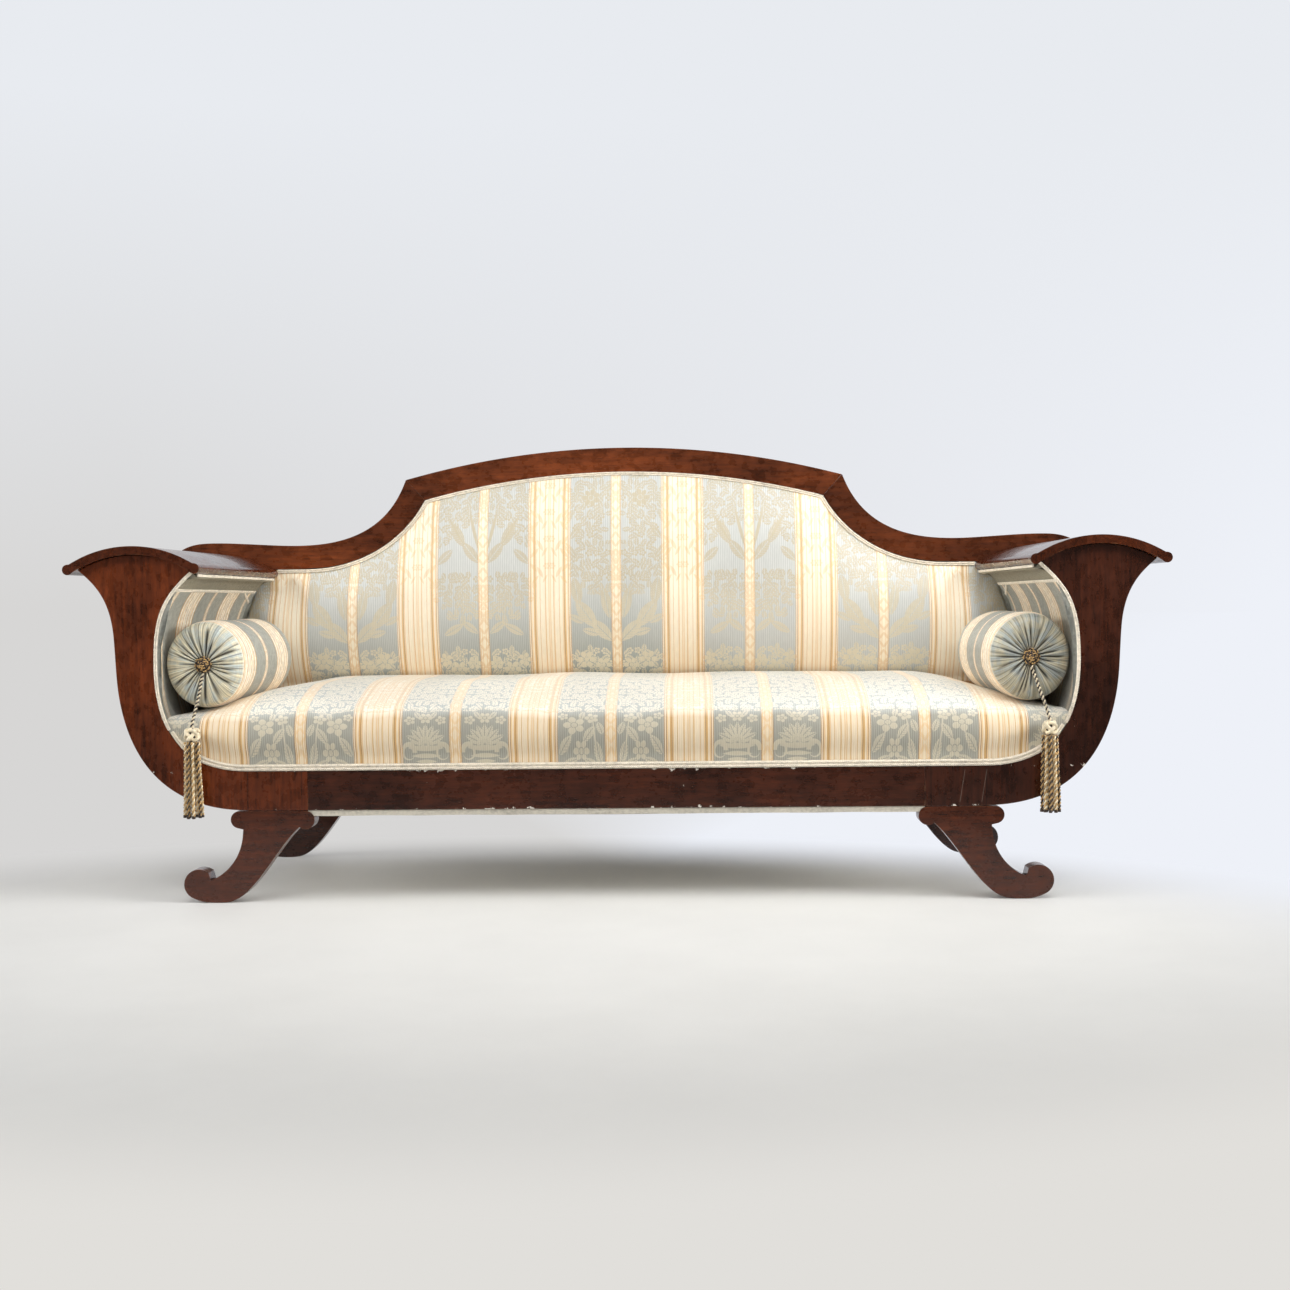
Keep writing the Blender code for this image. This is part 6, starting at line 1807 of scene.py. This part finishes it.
class SOFA_OT_braids(bpy.types.Operator):
    """Makes the braid along the edges of the seat, the back and the arms"""

    bl_idname = "sofa.braids"
    bl_label = "Braids"

    DEPTH = 0.0040
    SLANT = 34.0
    SEAT_WIDTH = 0.014
    BACK_WIDTH = 0.009
    ARM_WIDTH = 0.007
    PAD_FACE = 0.0058  # the arm frame's inner edge in to the face of its pad
    GAP = 0.0006
    FACE_GAP = 0.0003
    FINE = 0.8  # pitch of the narrow braids as a share of the seat's
    PLAIT_LENGTH = 1.7  # in steps from one plait to the next
    PLAIT_WIDTH = 0.9
    TAPE_SHARE = 0.4  # thickness of the tape as a share of the braid's depth
    TAPE_CELL = 0.012
    CORNER = ((0.080, 0.004), (0.0, 0.026))  # ends of the corner braid, forward and down from the pad's top
    TAPER = 0.07
    ROLL_SHARE = 0.6  # width of the braid under an arm board's roll, as a share of its solid's

    def braid(self, name, line, width, pitch, taper=0):
        """A flat tape with two rows of slanting plaits along a line in its own XY plane, facing up. It
        narrows to half its width over a taper's length at each end."""
        length = run_length(line)
        count = round(length / pitch)
        step = length / count
        row = width / 4
        plait = start("uv_sphere", name, segments=8, ring_count=5, radius=0.5)
        settle(plait, scale=(self.PLAIT_LENGTH * step, self.PLAIT_WIDTH * step, self.DEPTH))
        settle(plait, (step / 2, row, 0.5 * self.DEPTH), (0, 0, math.radians(self.SLANT)))
        finish_with(plait, "MIRROR", use_axis=(False, True, False), use_mirror_merge=False)
        offset = {"use_relative_offset": False, "use_constant_offset": True}
        finish_with(plait, "ARRAY", count=count, constant_offset_displace=(step, 0, 0), **offset)
        tape = start("cube", name + "_tape", size=1)
        thick = self.TAPE_SHARE * self.DEPTH
        settle(tape, (length / 2, 0, thick / 2), scale=(length, width, thick))
        cut_along(tape, X, (min(99, max(4, round(length / self.TAPE_CELL))),))
        braid = joined([plait, tape], name)
        smooth(braid, 50)
        if taper:
            points = points_of(braid)
            from_end = np.minimum(points[:, 0], length - points[:, 0])
            points[:, 1] *= 0.5 + 0.5 * smoothstep(from_end / taper)
            move_points(braid, points)
        return follow(braid, line, "POS_X", flat=True)

    def lay(self, piece, base, along, face):
        """Lays a straight braid from a base point, along a direction and facing another."""
        axes = np.array([along, face.cross(along), face])
        move_points(piece, points_of(piece) @ axes + np.array(base))

    def upright(self, name, line, inset, width, y, pitch, material, node, taper=0):
        """A braid that faces the front, along a line in the XZ plane."""
        piece = self.braid(name, offset_line(line, inset), width, pitch, taper)
        settle(piece, (0, y, 0), (math.pi / 2, 0, 0))
        hand_over(piece, "frame", "braid", (material,), node)

    def execute(self, context):
        sizes = context.scene.sofa_sizes
        colours = context.scene.sofa_colours
        cotton = woven_cloth("cotton_braid", colours.braid, 0.0018, 0.75)
        pitch = sizes.braid_pitch
        fine = self.FINE * pitch
        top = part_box("seat_gimp")[1].z - self.SEAT_WIDTH / 2
        right = INNER_EDGE[INNER_EDGE[:, 1] < top]
        line = np.concatenate([right[::-1] * (-1, 1), right])
        inset = self.GAP + self.SEAT_WIDTH / 2
        y = FRONT_Y - self.FACE_GAP
        self.upright("seat_braid", line, inset, self.SEAT_WIDTH, y, pitch, cotton, "seat_gimp", self.TAPER)
        line = np.concatenate([CREST_LINE[:0:-1] * (-1, 1), CREST_LINE])
        inset = -self.GAP - self.BACK_WIDTH / 2
        y = BACK_FRONT_Y - self.FACE_GAP
        self.upright("back_braid", line, inset, self.BACK_WIDTH, y, fine, cotton, "back_gimp")
        for word, side in SIDES:
            edge = INNER_EDGE[INNER_EDGE[:, 1] > top] * (side, 1)
            inset = side * (self.GAP + self.ARM_WIDTH / 2)
            y = FRONT_Y + 0.6 * self.DEPTH
            node = f"{word}_arm_gimp"
            self.upright(f"{word}_arm_braid", edge, inset, self.ARM_WIDTH, y, fine, cotton, node)
            low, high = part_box(f"{word}_arm_top_gimp")
            width = self.ROLL_SHARE * (high.z - low.z)
            piece = self.braid(f"{word}_roll_braid", ((0, 0), (high.y - low.y, 0)), width, fine)
            face = Vector((-side, 0, 0))
            rear = max(low.x, high.x) if side > 0 else min(low.x, high.x)
            self.lay(piece, (rear, low.y, high.z - width / 2), Vector((0, 1, 0)), face)
            hand_over(piece, "frame", "braid", (cotton,), f"{word}_arm_top_gimp")
            low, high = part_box(f"{word}_arm_pad")
            for name, start_at, end_at in (
                ("edge", (low.y, high.z), (high.y, high.z)),
                ("corner", *[(high.y - forward, high.z - down) for forward, down in self.CORNER]),
            ):
                ends = [Vector((side * (inner_x(z) - self.PAD_FACE), y, z)) for y, z in (start_at, end_at)]
                run = ends[1] - ends[0]
                slope = Vector((side * (inner_x(high.z) - inner_x(high.z - 0.02)), 0, 0.02))
                face = slope.cross(Vector((0, side, 0))).normalized()
                straight = ((0, 0), (run.length, 0))
                piece = self.braid(f"{word}_pad_{name}_braid", straight, self.ARM_WIDTH, fine)
                self.lay(piece, ends[0], run.normalized(), face)
                hand_over(piece, "frame", "braid", (cotton,))
        return {"FINISHED"}


def offset_line(points, distance):
    """The line moved to its left by a distance."""
    line = np.array(points)
    along = np.gradient(line, axis=0)
    along /= np.linalg.norm(along, axis=1)[:, None]
    return line + distance * np.stack([-along[:, 1], along[:, 0]], axis=1)


class SOFA_OT_bolsters(bpy.types.Operator):
    """Makes the two silk bolsters with gathered ends"""

    bl_idname = "sofa.bolsters"
    bl_label = "Bolsters"

    SEGMENTS = 240
    RINGS = 110
    STRIPE_FROM_FRONT = 0.195
    GAP = 0.003  # a bolster's ends to the ends of its solid
    LUMP = 0.0018
    LUMP_LENGTH = 0.07
    SEWN_SHARE = 0.985  # the cover is held inside this share of the radius
    PRESSURE = 2.0
    PROFILE = (  # share of the radius and distance behind the foremost ring, from the middle of an end
        (0.00, 0.0120), (0.16, 0.0115), (0.30, 0.0060), (0.50, 0.0010), (0.66, 0.0000),
        (0.80, 0.0030), (0.90, 0.0090), (0.965, 0.0200), (1.00, 0.0450),
    )
    # Least value of each gather's own width, reach and strength, and the most that chance adds
    UNEVEN = ((0.55, 0.90), (0.66, 0.40), (0.55, 0.45))
    SWIRL = 0.16  # how far the gathers lean round the middle
    VALLEY_POWER = 0.55
    VALLEY_FADE = 0.34  # shares of the radius over which a valley fades outwards, and where it starts
    VALLEY_START = (0.04, 0.10)

    def rings(self, length, radius):
        """Share of the radius and place along the bolster, in even steps over its ends and its side."""
        end = np.array(self.PROFILE)
        line = np.concatenate([end, (end * (1, -1) + (0, length))[::-1]])
        runs = np.hypot(radius * np.diff(line[:, 0]), np.diff(line[:, 1]))
        travelled = np.concatenate([[0], np.cumsum(runs)])
        steps = np.linspace(0, travelled[-1], self.RINGS + 1)
        return np.interp(steps, travelled, line[:, 0]), np.interp(steps, travelled, line[:, 1])

    def gathers(self, angle, share, pleats, chance):
        """Depth of the gathers from 0 to 1: sharp valleys, uneven in width and reach."""
        width, reach, strength = [
            np.array([least + more * chance.random() for _ in range(pleats)]) for least, more in self.UNEVEN
        ]
        edges = np.concatenate([[0], np.cumsum(width)])
        edges = edges / edges[-1] * 2 * math.pi
        turned = np.mod(angle + self.SWIRL * np.sin(3 * angle) * share, 2 * math.pi)
        index = np.clip(np.searchsorted(edges, turned) - 1, 0, pleats - 1)
        within = (turned - edges[index]) / (edges[index + 1] - edges[index])
        valley = 1 - np.abs(np.sin(math.pi * within)) ** self.VALLEY_POWER
        nearer = np.where(within < 0.5, index, (index + 1) % pleats)
        inner, ramp = self.VALLEY_START
        fade = smoothstep((reach[nearer] - share) / self.VALLEY_FADE) * smoothstep((share - inner) / ramp)
        return valley * fade * strength[nearer]

    def execute(self, context):
        sizes = context.scene.sofa_sizes
        span = (BOLSTER_LOW.y + self.GAP, BOLSTER_HIGH.y - self.GAP)
        half = (BOLSTER_HIGH - BOLSTER_LOW) / 2
        length = span[1] - span[0]
        stripe = BOLSTER_LOW.y + self.STRIPE_FROM_FRONT
        silk = striped_silk("bolster_silk", stripe, span)
        for (word, side), seed in zip(SIDES, (21, 34)):
            chance = random.Random(seed)
            name = f"{word}_bolster_cover"
            piece = start("uv_sphere", name, segments=self.SEGMENTS, ring_count=self.RINGS)
            sphere = points_of(piece)
            angle = np.arctan2(sphere[:, 1], sphere[:, 0])
            ring = np.rint(np.arccos(np.clip(sphere[:, 2], -1, 1)) / math.pi * self.RINGS).astype(int)
            shares, along = self.rings(length, half.x)
            share = shares[ring]
            front = ring <= self.RINGS // 2
            ahead = np.where(front, 1, -1)
            ends = [self.gathers(angle, share, sizes.pleats, chance) for _ in range(2)]
            depth = np.where(front, *ends)
            x = side * BOLSTER_MIDDLE.x + half.x * share * np.cos(angle)
            y = span[0] + along[ring] + ahead * sizes.pleat_depth * depth
            z = BOLSTER_MIDDLE.z + half.z * share * np.sin(angle)
            points = np.stack([x, y, z], axis=1)
            lumps = self.LUMP * wander(points, self.LUMP_LENGTH, seed) * smoothstep((share - 0.9) / 0.1)
            points[:, 0] += lumps * np.cos(angle)
            points[:, 2] += lumps * np.sin(angle)
            move_points(piece, points)
            with editing(piece):
                bpy.ops.mesh.normals_make_consistent(inside=False)
            plump(piece, share < self.SEWN_SHARE, self.PRESSURE, sizes.bolster_swell)
            piece.data.attributes.new(FOLD, "FLOAT", "POINT").data.foreach_set("value", depth)
            smooth(piece)
            hand_over(piece, f"{word}_bolster", "damask", (silk,), f"{word}_bolster")
        return {"FINISHED"}


class SOFA_PT_panel(bpy.types.Panel):
    """Lists the sofa's pieces, sizes and colours"""

    bl_idname = "SOFA_PT_panel"
    bl_label = "Sofa"
    bl_space_type = "VIEW_3D"
    bl_region_type = "UI"
    bl_category = "Sofa"

    def draw(self, context):
        for operator in OPERATORS:
            self.layout.operator(operator.bl_idname)
        for group in (context.scene.sofa_sizes, context.scene.sofa_colours):
            box = self.layout.box()
            for name in group.__annotations__:
                box.prop(group, name)


OPERATORS = (
    SOFA_OT_stage, SOFA_OT_tassels, SOFA_OT_woodwork, SOFA_OT_seat,
    SOFA_OT_back, SOFA_OT_arms, SOFA_OT_braids, SOFA_OT_bolsters,
)
CLASSES = (SofaSizes, SofaColours, *OPERATORS, SOFA_PT_panel)


def register():
    for kind in CLASSES:
        bpy.utils.register_class(kind)
    bpy.types.Scene.sofa_sizes = PointerProperty(type=SofaSizes)
    bpy.types.Scene.sofa_colours = PointerProperty(type=SofaColours)


def unregister():
    del bpy.types.Scene.sofa_colours
    del bpy.types.Scene.sofa_sizes
    for kind in reversed(CLASSES):
        bpy.utils.unregister_class(kind)


def main():
    register()
    bpy.ops.sofa.stage()
    bpy.ops.sofa.tassels()
    bpy.ops.sofa.woodwork()
    bpy.ops.sofa.seat()
    bpy.ops.sofa.back()
    bpy.ops.sofa.arms()
    bpy.ops.sofa.braids()
    bpy.ops.sofa.bolsters()


if __name__ == "__main__":
    main()
